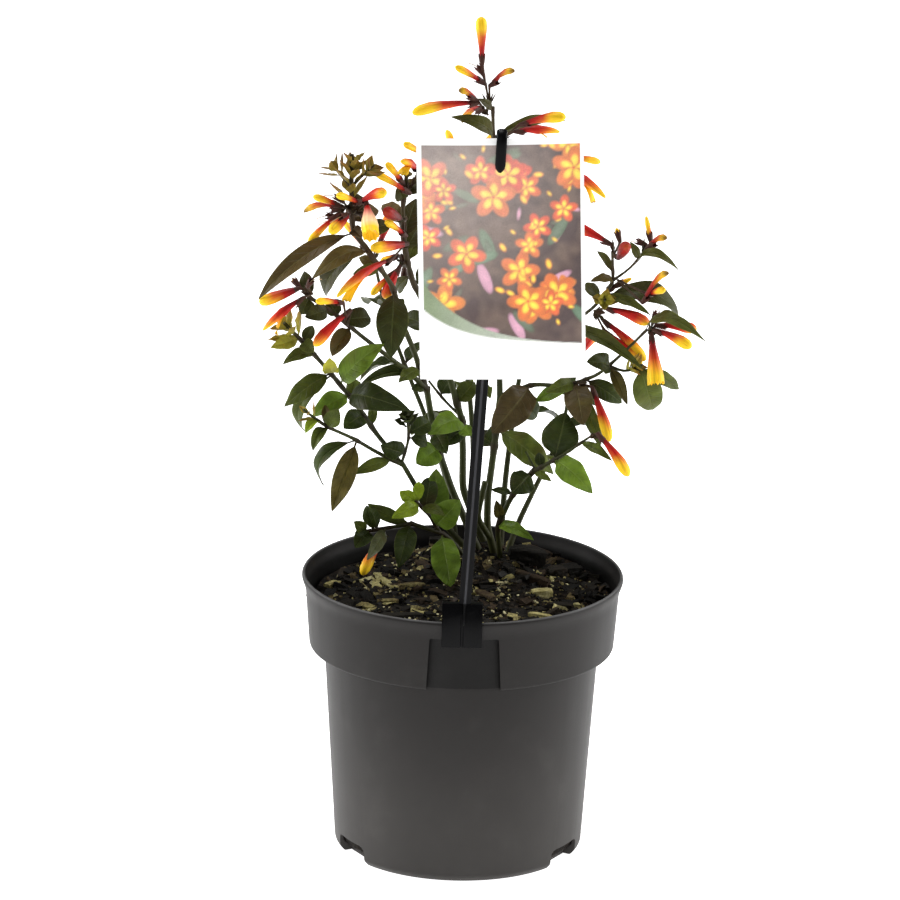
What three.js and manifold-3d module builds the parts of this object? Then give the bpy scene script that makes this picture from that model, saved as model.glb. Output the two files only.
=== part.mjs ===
// A flowering justicia, also sold as a shrimp plant, standing in its plastic growing pot.
// Millimetres, +Z up. The origin is the centre of the pot's base and -Y is the front.

import * as THREE from "three";
import { mergeVertices } from "three/addons/utils/BufferGeometryUtils.js";
import Module from "manifold-3d";

const wasm = await Module();
wasm.setup();

// ---- Driving dimensions --------------------------------------------------------------------

const GAP = 0.3; // clearance between pieces that touch

const RIM_RADIUS = 85;
const POT_HEIGHT = 150;
const BASE_RADIUS = 65.4; // the body's outer radius at the ground, before its rounded corner
const BODY_SLOPE = 0.0645; // growth of the body's radius for each millimetre of height
const WALL = 1.8;
const FLOOR = 2.6; // thickness of the pot's base
const COLLAR = { bottom: 112, top: 142.5, footRadius: 80.6, headRadius: 82.4, ledge: 1.5 };
const BEAD = { bottom: 144.6, width: 3, round: 1.1 };
const POT_SIDES = 32;
const POCKET = { x: 1.3, width: 36, top: 140.2, depth: 2.8, backing: 1.5 }; // open at the bottom
const NOTCH = { angles: [-60, 60, 180], width: 26, reach: 16, height: 10.5 };

const SOIL_LEVEL = 136; // at the wall
const MOUND = { x: 10, y: 38, height: 13, spread: 30 }; // the raised root ball at the crown
const SOIL_RADIUS = 78.2; // just inside the collar
const SOIL_SIDES = 20;
const BARK_CHIPS = 2;

const STAKE = { foot: [1, 156], head: [15.2, 409], y: -83.2, width: 6.2 };
const STRAP = { width: 5.4, thickness: 2.6 }; // the bar's thin end, bent into the hook
const CLIP = { width: 21, top: 160.5, skirt: 137.5, plate: 1.8, outer: 2.6 };
const CARD = { x: 16.3, y: -88.2, z: 346, width: 84.5, height: 126.5, thickness: 0.7, turn: 1.9, bow: 2.2 };

const BLADE_THICKNESS = 0.8;
const LONG_LEAF = 36; // longer ones are lofted over more sections
const STEM_SIDES = 4; // the stems are square
const STEM_STEP = 20; // length of a stem's straight pieces
const BLOOM_SIDES = 5;
const CALYX_LENGTH = 7;
const STALK_RADIUS = 0.75;

// ---- Solids --------------------------------------------------------------------------------

// Any closed three.js geometry as a solid that can be joined and cut.
function solid(geometry) {
  const bare = geometry.clone();
  bare.deleteAttribute("normal");
  bare.deleteAttribute("uv");
  const merged = mergeVertices(bare, 1e-4);
  const vertProperties = new Float32Array(merged.attributes.position.array);
  const triVerts = new Uint32Array(merged.index.array);
  return new wasm.Manifold(new wasm.Mesh({ numProp: 3, vertProperties, triVerts }));
}

function fuse(solids) {
  return solids.reduce((whole, piece) => whole.add(piece));
}

function part(name, whole, look) {
  const { vertProperties, triVerts } = whole.getMesh();
  const geometry = new THREE.BufferGeometry();
  geometry.setAttribute("position", new THREE.BufferAttribute(vertProperties, 3));
  geometry.setIndex(new THREE.BufferAttribute(triVerts, 1));
  geometry.computeVertexNormals();
  const mesh = new THREE.Mesh(geometry, new THREE.MeshStandardMaterial(look));
  mesh.name = name;
  return mesh;
}

const vector = ([x, y, z]) => new THREE.Vector3(x, y, z);
const radians = THREE.MathUtils.degToRad;

// A closed skin over sections that all have the same number of points. From the index given as
// mirrored on, the quads are split the other way, so that both faces of a blade match.
function loft(sections, mirrored = Infinity) {
  const count = sections[0].length;
  const index = [];
  for (let s = 0; s + 1 < sections.length; s += 1) {
    for (let p = 0; p < count; p += 1) {
      const a = s * count + p;
      const b = s * count + ((p + 1) % count);
      const c = b + count;
      const d = a + count;
      if (p < mirrored) index.push(a, b, c, a, c, d);
      else index.push(a, b, d, b, c, d);
    }
  }
  const last = (sections.length - 1) * count;
  for (let p = 1; p + 1 < count; p += 1) {
    index.push(0, p + 1, p);
    index.push(last, last + p, last + p + 1);
  }
  const geometry = new THREE.BufferGeometry();
  geometry.setFromPoints(sections.flat());
  geometry.setIndex(index);
  return geometry;
}

// ---- Plant pieces --------------------------------------------------------------------------

// A stem along a route, thinning evenly from its foot to its end.
function stem(route, footRadius, endRadius) {
  const path = new THREE.CatmullRomCurve3(route.map(vector), false, "centripetal");
  const steps = Math.max(2, Math.round(path.getLength() / STEM_STEP));
  const corners = Array.from({ length: STEM_SIDES }, (_, side) => {
    const angle = (side / STEM_SIDES) * 2 * Math.PI;
    return new THREE.Vector2(Math.cos(angle), Math.sin(angle));
  });
  const section = new THREE.Shape(corners);
  const geometry = new THREE.ExtrudeGeometry(section, { steps, extrudePath: path, bevelEnabled: false });
  const centres = path.getSpacedPoints(steps);
  const points = geometry.attributes.position;
  const point = new THREE.Vector3();
  for (let i = 0; i < points.count; i += 1) {
    point.fromBufferAttribute(points, i);
    const distances = centres.map((centre) => centre.distanceTo(point));
    const nearest = distances.indexOf(Math.min(...distances));
    const radius = THREE.MathUtils.lerp(footRadius, endRadius, nearest / steps);
    point.sub(centres[nearest]).multiplyScalar(radius).add(centres[nearest]);
    points.setXYZ(i, point.x, point.y, point.z);
  }
  return solid(geometry);
}

// Half the width of an elliptic blade with a short stalk, at a fraction of its length.
function halfWidth(width, along) {
  const blade = THREE.MathUtils.clamp((along - 0.12) / 0.88, 0, 1);
  return (width / 2) * Math.sin(Math.PI * blade ** 0.8) + THREE.MathUtils.lerp(0.7, 0.4, along);
}

// A leaf from base to tip. It arches by the given rise at mid length, and its upper face leans
// from straight up (tilt 0) towards the front (tilt 90).
function leaf(base, tip, width, rise, tilt) {
  const start = vector(base);
  const chord = vector(tip).sub(start);
  const length = chord.length();
  const facing = new THREE.Vector3(0, -Math.sin(radians(tilt)), Math.cos(radians(tilt)));
  const normal = facing.projectOnPlane(chord.clone().normalize()).normalize();
  const segments = length > LONG_LEAF ? 3 : 2;
  const side = chord.clone().cross(normal).normalize();
  const sections = Array.from({ length: segments + 1 }, (_, station) => {
    const along = station / segments;
    const lift = 4 * rise * along * (1 - along);
    const centre = start.clone().addScaledVector(chord, along).addScaledVector(normal, lift);
    const slope = (4 * rise * (1 - 2 * along)) / length;
    const face = normal.clone().addScaledVector(chord, -slope / length).normalize();
    const half = halfWidth(width, along);
    return [[-half, 0], [half, 0], [half, 1], [-half, 1]].map(([shift, under]) => {
      const point = centre.clone().addScaledVector(side, shift);
      return point.addScaledVector(face, -BLADE_THICKNESS * under);
    });
  });
  return solid(loft(sections, 2));
}

// A growing tip: pairs of young leaves along a shoot's end, each pair a quarter turn from the
// last and smaller. A pair is one strap that runs through the stem from tip to tip.
function tuft(base, tip, pairs, length, width) {
  const foot = vector(base);
  const axis = vector(tip).sub(foot);
  const along = axis.clone().normalize();
  const across = along.clone().cross(new THREE.Vector3(0.3, 1, 0.2)).normalize();
  const straps = [];
  for (let pair = 0; pair < pairs; pair += 1) {
    const seat = foot.clone().addScaledVector(axis, 0.25 + (0.7 * pair) / pairs);
    const reach = length * (1 - (0.5 * pair) / pairs);
    const outward = across.clone().applyAxisAngle(along, radians(90 * pair + 35));
    const face = along.clone().cross(outward);
    const sections = [-1, -0.5, 0.5, 1].map((place) => {
      const spread = Math.abs(place);
      const half = spread === 1 ? 0.4 : width / 2;
      const centre = seat.clone().addScaledVector(outward, reach * 0.7 * place);
      centre.addScaledVector(along, reach * 0.75 * spread);
      const lower = along.clone().addScaledVector(outward, -0.8 * Math.sign(place)).normalize();
      return [[half, 0], [-half, 0], [-half, 1], [half, 1]].map(([shift, under]) => {
        const point = centre.clone().addScaledVector(face, shift);
        return point.addScaledVector(lower, -BLADE_THICKNESS * under);
      });
    });
    straps.push(solid(loft(sections, 2)));
  }
  return fuse(straps);
}

// A ring of corners about an axis, for a body that is lofted over several of them.
function ring(centre, ahead, radius) {
  const side = ahead.clone().cross(new THREE.Vector3(0.05, 0.1, 1)).normalize();
  const up = side.clone().cross(ahead);
  return Array.from({ length: BLOOM_SIDES }, (_, corner) => {
    const angle = (-corner / BLOOM_SIDES) * 2 * Math.PI;
    const point = centre.clone().addScaledVector(side, radius * Math.cos(angle));
    return point.addScaledVector(up, radius * Math.sin(angle));
  });
}

// Each corolla as fraction of its length and radius, and how far its middle is lifted.
const COROLLAS = {
  bud: { lift: 0.05, rings: [[0.75, 2], [1, 0.7]] },
  full: { lift: 0.1, rings: [[0.66, 3.1], [1, 0.9]] },
  plump: { lift: 0, rings: [[0.6, 2.9], [0.88, 3], [1, 1.5]] },
  bell: { lift: 0.05, rings: [[0.5, 2.6], [0.84, 4.3], [1, 4.6]] },
  open: { lift: 0.14, rings: [[0.5, 2.9]] },
  faded: { lift: 0.3, rings: [[0.7, 1.9], [1, 0.7]] },
  young: { lift: 0, rings: [[0.6, 1.4], [1, 0.5]] },
  spent: { lift: 0, rings: [] },
};

// A bloom on its stalk: the stalk swells into a calyx cup with a toothed brim, and out of it
// comes a tube that is a closed bud, a full bloom, a bell, or an open one with a straight upper
// and a bent lower lip. A spent one is its calyx only.
function bloom(fork, base, tip, kind) {
  const root = vector(fork);
  const foot = vector(base);
  const end = vector(tip);
  const forward = end.clone().sub(foot).normalize();
  const stalk = foot.clone().sub(root).normalize();
  const brim = foot.clone().addScaledVector(forward, CALYX_LENGTH);
  const notch = foot.clone().addScaledVector(forward, CALYX_LENGTH * 0.72);
  const tips = ring(brim, forward, 2.1);
  const notches = ring(notch, forward, 1.9);
  const sections = [
    ring(root, stalk, STALK_RADIUS),
    ring(foot, forward, STALK_RADIUS + 0.4),
    tips.map((point, corner) => (corner % 2 ? notches[corner] : point)),
  ];
  const { lift, rings } = COROLLAS[kind];
  const middle = foot.clone().lerp(end, 0.6);
  middle.z += foot.distanceTo(end) * lift;
  const axis = new THREE.QuadraticBezierCurve3(foot, middle, end);
  if (rings.length) {
    sections.push(ring(notch, forward, 1.25));
  }
  for (const [along, radius] of rings) {
    sections.push(ring(axis.getPoint(along), axis.getTangent(along), radius));
  }
  if (kind !== "open") return solid(loft(sections));
  const mouth = axis.getPoint(0.7);
  const gape = ring(mouth, forward, 3.2);
  sections.push(gape.map((point) => (point.z > mouth.z + 1 ? point.lerp(end, 0.9) : point)));
  const below = end.clone().addScaledVector(forward, -3);
  below.z -= 7;
  const lip = leaf(axis.getPoint(0.55).toArray(), below.toArray(), 6, -2, 20);
  return solid(loft(sections)).add(lip);
}

// ---- Looks ---------------------------------------------------------------------------------

const LOOKS = {
  pot: { color: 0x4a4745, roughness: 0.55, metalness: 0 },
  soil: { color: 0x241a12, roughness: 0.95, metalness: 0 },
  stake: { color: 0x1c1c20, roughness: 0.4, metalness: 0 },
  card: { color: 0xf4f4f0, roughness: 0.35, metalness: 0 },
  foliage: { color: 0x39451c, roughness: 0.45, metalness: 0 },
  flower: { color: 0xe0682a, roughness: 0.5, metalness: 0 },
};

// ---- Pot, potting mix, stake and card ------------------------------------------------------

const bodyRadius = (height) => BASE_RADIUS + BODY_SLOPE * height;

function lathe(profile, sides) {
  const outline = profile.map(([radius, height]) => new THREE.Vector2(radius, height));
  return new THREE.LatheGeometry(outline, sides).rotateX(Math.PI / 2);
}

function box(width, depth, height, x, y, z) {
  return new THREE.BoxGeometry(width, depth, height).translate(x, y, z);
}

// The space that the label pocket takes out of the collar, grown by a margin on every side: it
// follows the collar's curve and is open at the bottom.
function pocketSpace(margin) {
  const { x, width, top, depth } = POCKET;
  const { bottom, footRadius, headRadius } = COLLAR;
  const low = bottom - 6 - margin;
  const high = top + margin;
  const slope = (headRadius - footRadius) / (COLLAR.top - bottom);
  const floorAt = (height) => footRadius + slope * (height - bottom) - depth - margin;
  const block = box(width + 2 * margin, 24, high - low, x, 8 - RIM_RADIUS, (low + high) / 2);
  const core = [[0, low - 1], [floorAt(low - 1), low - 1], [floorAt(high + 1), high + 1], [0, high + 1]];
  return solid(block).subtract(solid(lathe(core, POT_SIDES)));
}

// The body and the collar are one shell, listed up the outside and down the inside. The collar
// steps out over a ledge and ends in a rolled bead.
function makePot() {
  const { bottom, top, footRadius, headRadius, ledge } = COLLAR;
  const neck = bottom - ledge;
  const profile = [
    [0, 0],
    [BASE_RADIUS - 2.4, 0],
    [bodyRadius(3), 3],
    [bodyRadius(neck), neck],
    [footRadius, bottom],
    [headRadius, top],
    [RIM_RADIUS, BEAD.bottom],
    [RIM_RADIUS, POT_HEIGHT - BEAD.round],
    [RIM_RADIUS - BEAD.round, POT_HEIGHT],
    [RIM_RADIUS - BEAD.width, POT_HEIGHT],
    [headRadius - WALL, top],
    [footRadius - WALL, bottom + WALL],
    [bodyRadius(neck) - WALL, bottom - GAP],
    [bodyRadius(6) - WALL, 6],
    [BASE_RADIUS - 5.4, FLOOR],
    [0, FLOOR],
  ];
  const shell = solid(lathe(profile, POT_SIDES));
  const hollow = [
    [0, neck],
    [footRadius - 1, neck],
    [headRadius - 0.8, POCKET.top + 0.5],
    [0, POCKET.top + 0.5],
  ];
  const backing = pocketSpace(POCKET.backing).intersect(solid(lathe(hollow, POT_SIDES)));
  const notches = NOTCH.angles.map((angle) => {
    const { width, reach, height } = NOTCH;
    const block = box(width, reach, 2 * height, 0, -BASE_RADIUS, 0);
    return solid(block.rotateZ(radians(angle)));
  });
  return part("pot", fuse([shell, backing]).subtract(fuse([pocketSpace(0), ...notches])), LOOKS.pot);
}

// Height of the potting mix: level near the wall, mounded round the crown and softly uneven.
function soilHeight(x, y) {
  const away = (x - MOUND.x) ** 2 + (y - MOUND.y) ** 2;
  const mound = MOUND.height * Math.exp(-away / (2 * MOUND.spread ** 2));
  const ripple = Math.sin(x * 0.19 + 1) * Math.cos(y * 0.16) + 0.6 * Math.sin(x * 0.37 - y * 0.31);
  return SOIL_LEVEL + mound + ripple;
}

// A repeatable stream of numbers from 0 to 1.
function draws(seed) {
  let state = seed;
  return () => {
    state = (Math.imul(state, 1664525) + 1013904223) >>> 0;
    return state / 2 ** 32;
  };
}

function barkChip(x, y, length, width, height, turn, lean) {
  const chip = new THREE.BoxGeometry(length, width, height);
  chip.rotateY(radians(lean)).rotateZ(radians(turn));
  return solid(chip.translate(x, y, soilHeight(x, y) + height * 0.15));
}

// The chips of bark that stand out: length, width, height, turn and lean of each by its place.
const BIG_CHIPS = [
  [34, 34, 19, 10, 11, 10, 8],
  [35, 14, 25, 5, 5, -32, 5],
  [50, 25, 10, 9, 8, 20, 0],
  [57, 33, 13, 11, 9, 30, 0],
  [42, -2, 12, 7, 5, 15, 0],
  [20, 6, 13, 3, 2.5, 16, 4],
  [12, -9, 16, 5, 3, -55, 0],
  [-40, 14, 13, 3.5, 3, -62, 6],
  [-27, 3, 15, 6, 3.5, 24, 4],
  [-39, -14, 12, 5, 3, 10, 0],
  [-69, 14, 12, 5, 3.5, 60, 6],
  [-11, -4, 14, 6, 3, -30, 8],
  [52, -19, 12, 6, 4, -10, 0],
  [41, -34, 14, 5, 3.5, -25, 0],
  [-32, -40, 24, 6, 4, 25, 5],
  [-62, -20, 16, 7, 5, 60, 0],
  [-8, 66, 20, 8, 6, 0, 5],
  [40, 56, 16, 8, 7, -40, 5],
];

function makePottingMix(canes) {
  const side = WALL + GAP + 0.4;
  const { bottom, footRadius, ledge } = COLLAR;
  const ring = (radius, height) =>
    Array.from({ length: SOIL_SIDES }, (_, step) => {
      const angle = (step / SOIL_SIDES) * 2 * Math.PI;
      const x = radius * Math.cos(angle);
      const y = radius * Math.sin(angle);
      return new THREE.Vector3(x, y, height ?? soilHeight(x, y));
    });
  const rings = [
    ring(BASE_RADIUS - 5.6, FLOOR + GAP),
    ring(bodyRadius(6) - side, 6 + GAP),
    ring(bodyRadius(bottom - ledge) - side, bottom + 0.2),
    ring(footRadius - side - GAP, bottom + 2.6),
    ring(SOIL_RADIUS, SOIL_LEVEL - 4),
    ring(SOIL_RADIUS),
    ring(64),
    ring(46),
    ring(28),
    ring(12),
  ];
  const draw = draws(7);
  const small = Array.from({ length: BARK_CHIPS }, () => {
    const angle = draw() * 2 * Math.PI;
    const reach = 68 * Math.sqrt(draw());
    const size = 6 + 7 * draw();
    const shape = [size, size * 0.45, 2.5 + 2 * draw(), 180 * draw(), 16 * draw() - 8];
    return barkChip(reach * Math.cos(angle), reach * Math.sin(angle), ...shape);
  });
  const chips = BIG_CHIPS.map((row) => barkChip(...row));
  const ground = fuse([solid(loft(rings)), ...chips, ...small]);
  const shoots = canes.flatMap((cane) => cane.shoots);
  const sunk = shoots.filter(([, , foot]) => foot[2] < SOIL_LEVEL + MOUND.height);
  const holes = sunk.map(([radius, , foot, next]) => {
    const below = vector(foot).sub(vector(next)).setLength(GAP).add(vector(foot)).toArray();
    const loose = radius + 1.5 * GAP;
    return stem([below, foot, next], loose, loose);
  });
  const cut = fuse([...holes, pocketSpace(POCKET.backing + GAP)]);
  return part("potting_mix", ground.subtract(cut), LOOKS.soil);
}

// The label stake: a clip that straddles the rim, a ribbed bar, and a hook over the card.
function makeStake() {
  const [footX, footZ] = STAKE.foot;
  const [headX, headZ] = STAKE.head;
  const half = STAKE.width / 2;
  const section = [
    [-half, 0],
    [-half, -0.9],
    [-0.7, -1.2],
    [0, -2.4],
    [0.7, -1.2],
    [half, -0.9],
    [half, 0],
    [0, 1],
  ];
  const outline = new THREE.Shape(section.map(([x, y]) => new THREE.Vector2(x, y)));
  const depth = Math.hypot(headZ - footZ, headX - footX);
  const bar = new THREE.ExtrudeGeometry(outline, { depth, bevelEnabled: false });
  bar.rotateY(Math.atan2(headX - footX, headZ - footZ)).translate(footX, STAKE.y, footZ);

  const front = CARD.y - CARD.thickness / 2 - GAP - STRAP.thickness / 2;
  const back = STAKE.y - 0.4;
  const extrudePath = new THREE.CatmullRomCurve3(
    [
      [headX - 1, back, headZ - 6],
      [headX, back, headZ + 1],
      [headX + 0.1, (back + front) / 2, headZ + 3.6],
      [headX + 0.1, front, headZ + 1],
      [headX - 0.6, front, headZ - 17],
    ].map(vector),
  );
  const oval = new THREE.Shape();
  oval.absellipse(0, 0, STRAP.thickness / 2, STRAP.width / 2, 0, 2 * Math.PI);
  const sweep = { steps: 9, extrudePath, curveSegments: 3, bevelEnabled: false };
  const hook = new THREE.ExtrudeGeometry(oval, sweep);

  const outer = RIM_RADIUS + CLIP.outer;
  const inner = COLLAR.headRadius - WALL - 1.8; // clears the collar's inside across the clip's width
  const seat = POT_HEIGHT + GAP;
  const saddle = [
    [outer, CLIP.skirt],
    [RIM_RADIUS + GAP, CLIP.skirt],
    [RIM_RADIUS + GAP, seat],
    [inner, seat],
    [inner, CLIP.skirt + 3.5],
    [inner - CLIP.plate, CLIP.skirt + 3.5],
    [inner - CLIP.plate, seat + 1.7],
    [inner + 0.6, seat + 3.7],
    [inner + 0.6, CLIP.top - 1],
    [inner + 1.6, CLIP.top],
    [RIM_RADIUS - 0.6, CLIP.top],
    [outer, seat + 2.7],
  ];
  const profile = new THREE.Shape(saddle.map(([radius, height]) => new THREE.Vector2(-radius, height)));
  const clip = new THREE.ExtrudeGeometry(profile, { depth: CLIP.width, bevelEnabled: false });
  clip.rotateX(Math.PI / 2).rotateZ(Math.PI / 2).translate(-CLIP.width / 2, 0, 0);
  const groove = box(1.4, 1.6, 2 * CLIP.top, 0, -outer, 0);
  return part("label_stake", fuse([bar, hook, clip].map(solid)).subtract(solid(groove)), LOOKS.stake);
}

// The picture card, slightly bowed, turned a little and hanging from the stake's hook.
function makeCard() {
  const { x, y, z, width, height, thickness, turn, bow } = CARD;
  const sheet = new THREE.BoxGeometry(width, thickness, height, 8, 1, 1);
  const points = sheet.attributes.position;
  for (let i = 0; i < points.count; i += 1) {
    const across = points.getX(i) / (width / 2);
    points.setY(i, points.getY(i) + bow * across ** 2);
  }
  sheet.rotateY(radians(-turn)).translate(x, y, z);
  return part("label_card", solid(sheet), LOOKS.card);
}

// ---- Where everything grows ----------------------------------------------------------------

// Each cane's shoots are radius at the foot, radius at the end and a route. Its leaves are base,
// tip, width, rise and tilt, and its growing tips base, tip, pairs, length and width.
const CANES = [
  {
    // Left cane, with two long arching shoots
    name: "leafy_stem_1",
    shoots: [
      [2, 1.5, [6, 35, 148], [-1, 33, 157], [-16, 30, 173], [-33, 22, 203]],
      [
        1.3, 0.8,
        [-32, 22.5, 201.5], [-43, 18, 208], [-57, 10, 219], [-72, 2, 228], [-79, -2, 233],
        [-85, -6, 240],
      ],
      [
        1.5, 1.1,
        [-33, 22, 202], [-43, 23, 215], [-51, 24, 222], [-61, 22, 240], [-72, 20, 253], [-82, 17, 265],
        [-87, 14, 273], [-96, 8, 283],
      ],
      [0.9, 0.6, [-33.5, 22, 202.5], [-31, 22, 211], [-29, 20, 222], [-31, 17, 231]],
    ],
    leaves: [
      [[-57, 10, 219], [-70, 0, 181], 11, 5, 75],
      [[-57, 10, 219], [-74, 18, 190], 9, 12, 26],
      [[-72, 2, 228], [-80, -6, 217], 6, 5, 30],
      [[-72, 2, 228], [-67, -6, 241], 8.5, 2, 70],
      [[-72.5, 1.5, 228.5], [-74, 8, 239], 4, 1, 70],
      [[-76.5, -1, 232], [-84, -10, 228], 5, 3, 20],
      [[-54, 23, 228.5], [-64, 12, 225], 11, 3, 60],
      [[-49.5, 23.5, 222.5], [-49, 34, 233], 4.5, 1, 80],
      [[-31.5, 21.5, 209], [-44, 10, 216], 10.5, 2, 80],
      [[-38.5, 19.5, 205.5], [-59, 8, 201], 6.5, 4, 60],
      [[-61.5, 22, 239.5], [-81, 12, 231], 11, 6, 58],
      [[-61.5, 22, 239.5], [-29, 0, 239], 15, 13, 66],
      [[-66.5, 21, 246], [-43, 12, 272], 13.5, 6, 50],
      [[-61, 22, 238.5], [-58, 35, 246], 7, 1, 60],
      [[-71.5, 20, 252.5], [-96, 6, 238], 11, 5, 60],
      [[-71, 20, 251.5], [-85, 26, 217], 7, 15, 32],
      [[-71.5, 20, 252.5], [-72, 10, 264], 8, 2, 60],
      [[-80, 17.5, 263], [-97, 8, 260], 7, 5, 45],
      [[-86.5, 14.5, 271], [-80, 2, 269], 7, 1, 60],
      [[-86, 14.5, 270.5], [-81, 22, 278], 6, 1, 70],
      [[-88, 13.5, 273], [-103, 2, 271], 7, 2, 70],
      [[-30, 20.5, 220], [-18, 30, 224], 9.5, 3, 65],
      [[-29.5, 21, 217.5], [-20, 28, 213], 7.5, 3, 65],
    ],
    tufts: [
      [[-77.5, -1.5, 233], [-85, -6, 240], 2, 9, 3.6],
      [[-86.5, 14.5, 271], [-96, 8, 283], 3, 17, 9],
      [[-30, 20, 221.5], [-31, 17, 231], 3, 10, 6.5],
    ],
  },
  {
    // Left-hand cane, forked at mid height, with the high left shoot
    name: "leafy_stem_2",
    shoots: [
      [
        2.3, 1.9,
        [10, 44, 145], [2, 46, 162], [-9, 48, 187], [-14, 48, 203], [-18, 46, 220], [-21, 42, 239],
      ],
      [
        1.6, 1,
        [-20.5, 42.5, 237.5], [-28, 36, 247], [-36, 28, 256], [-52, 20, 270], [-59, 17, 277],
        [-66, 14, 284], [-75, 12, 291], [-85, 10, 298],
      ],
      [
        1.8, 1.3,
        [-21.5, 41.5, 238.5], [-28, 40, 260], [-34, 38, 271], [-36, 36, 286], [-42, 32, 302],
        [-49, 29, 312], [-57, 26, 321], [-61, 24, 329], [-62, 23, 341], [-62, 23, 350], [-62, 22, 371],
      ],
      [0.9, 0.6, [-62, 23, 353], [-67, 25, 358], [-73, 26, 365]],
      [0.9, 0.6, [-62, 23, 353], [-57, 22, 359], [-50, 20, 366]],
    ],
    leaves: [
      [[-14, 48, 203.5], [-26, 34, 199], 13, 3, 70],
      [[-16, 47, 212.5], [-10, 30, 207], 9, 2, 70],
      [[-61.5, 16, 279], [-71, 8, 265], 9, 3, 60],
      [[-65, 14.5, 283], [-50, 20, 283], 11, 3, 60],
      [[-67.5, 14, 285], [-74, 15, 294], 8, 2, 60],
      [[-73, 12.5, 289.5], [-85, 2, 288], 8.5, 2, 75],
      [[-83, 10.5, 296.5], [-87, 6, 288], 8, 2, 75],
      [[-83, 10.5, 296.5], [-86, 21, 308], 7, 1, 80],
      [[-39, 34, 295], [-40, 14, 262], 16.5, 6, 80],
      [[-23, 41, 244.5], [-58, 26, 244], 8, 8, 35],
      [[-24.5, 41, 249], [-36, 20, 248], 8, 3, 50],
      [[-21.5, 41.5, 239.5], [-29, 36, 240], 5, 1, 60],
      [[-60, 24.5, 328], [-111, 2, 296], 10, 12, 45],
      [[-52, 28, 316], [-83, 12, 305], 9, 13.5, 50],
      [[-55, 26.5, 320], [-75, 40, 288], 9.5, 10, 45],
      [[-47, 30, 308.5], [-58, 31, 313], 6, 2, 70],
      [[-46.5, 30, 308], [-61, 26, 305], 6, 2, 70],
      [[-61, 24, 330.5], [-56, 8, 330], 6, 1, 70],
      [[-61.5, 23.5, 338.5], [-55, 34, 345], 9, 2, 65],
      [[-61.5, 23.5, 334], [-48, 38, 338], 9, 3, 60],
      [[-58.5, 25, 325.5], [-40, 40, 330], 9, 3, 60],
    ],
    tufts: [
      [[-62, 23, 349.5], [-61, 22, 370], 5, 14, 7],
      [[-62, 23, 344.5], [-63, 23, 353], 2, 15, 7],
      [[-66, 24.5, 357.5], [-72, 26, 364], 3, 12, 6.5],
      [[-57.5, 22, 358.5], [-51, 20, 365], 3, 12, 6.5],
    ],
  },
  {
    // Centre cane, rising behind the card to the cluster at its upper left corner
    name: "leafy_stem_3",
    shoots: [
      [2.4, 2, [15, 52, 143], [6, 56, 161], [-2, 58, 184], [-1, 60, 199], [-2, 60, 218]],
      [
        2, 1.2,
        [-2, 60, 216.5], [-8, 58, 237], [-14, 56, 261], [-22, 54, 279], [-28, 52, 290], [-31, 50, 300],
        [-34, 48, 313], [-35, 46, 329], [-35, 44, 347], [-33, 46, 358],
      ],
      [0.9, 0.7, [-2.5, 60, 218], [-14, 62, 229], [-20, 62, 237]],
    ],
    leaves: [
      [[-1.5, 60, 210.5], [-12, 44, 206], 9, 2, 60],
      [[-2, 60, 214.5], [-19, 25, 220], 13, 5, 55],
      [[-1.5, 60, 211.5], [3, 42, 213], 7, 1, 70],
      [[-32, 49, 306], [-27, 62, 319], 8, 2, 70],
      [[-30.5, 50.5, 298.5], [-38, 64, 285], 7, 3, 60],
      [[-28.5, 51.5, 292.5], [-15, 66, 298], 12, 3, 50],
      [[-35, 46, 326.5], [-46, 60, 335], 9, 3, 50],
      [[-34.5, 45, 343.5], [-24, 56, 348], 10, 3, 50],
      [[-35, 45, 340.5], [-38, 39, 349], 7, 1, 60],
      [[-16, 55.5, 265.5], [-36, 72, 269], 11, 4, 45],
      [[-16, 55.5, 264.5], [1, 74, 269], 13, 4, 45],
      [[-34.5, 47, 319.5], [-28, 58, 339], 10, 3, 65],
      [[-33.5, 48.5, 312], [-26, 60, 323], 9, 3, 62],
      [[-4.5, 59, 226], [5, 62, 237], 10, 2, 60],
      [[-13.5, 62, 229], [-8, 72, 235], 10, 2, 60],
    ],
    tufts: [
      [[-34.5, 45, 344], [-33, 46, 358], 2, 9, 5],
    ],
  },
  {
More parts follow.
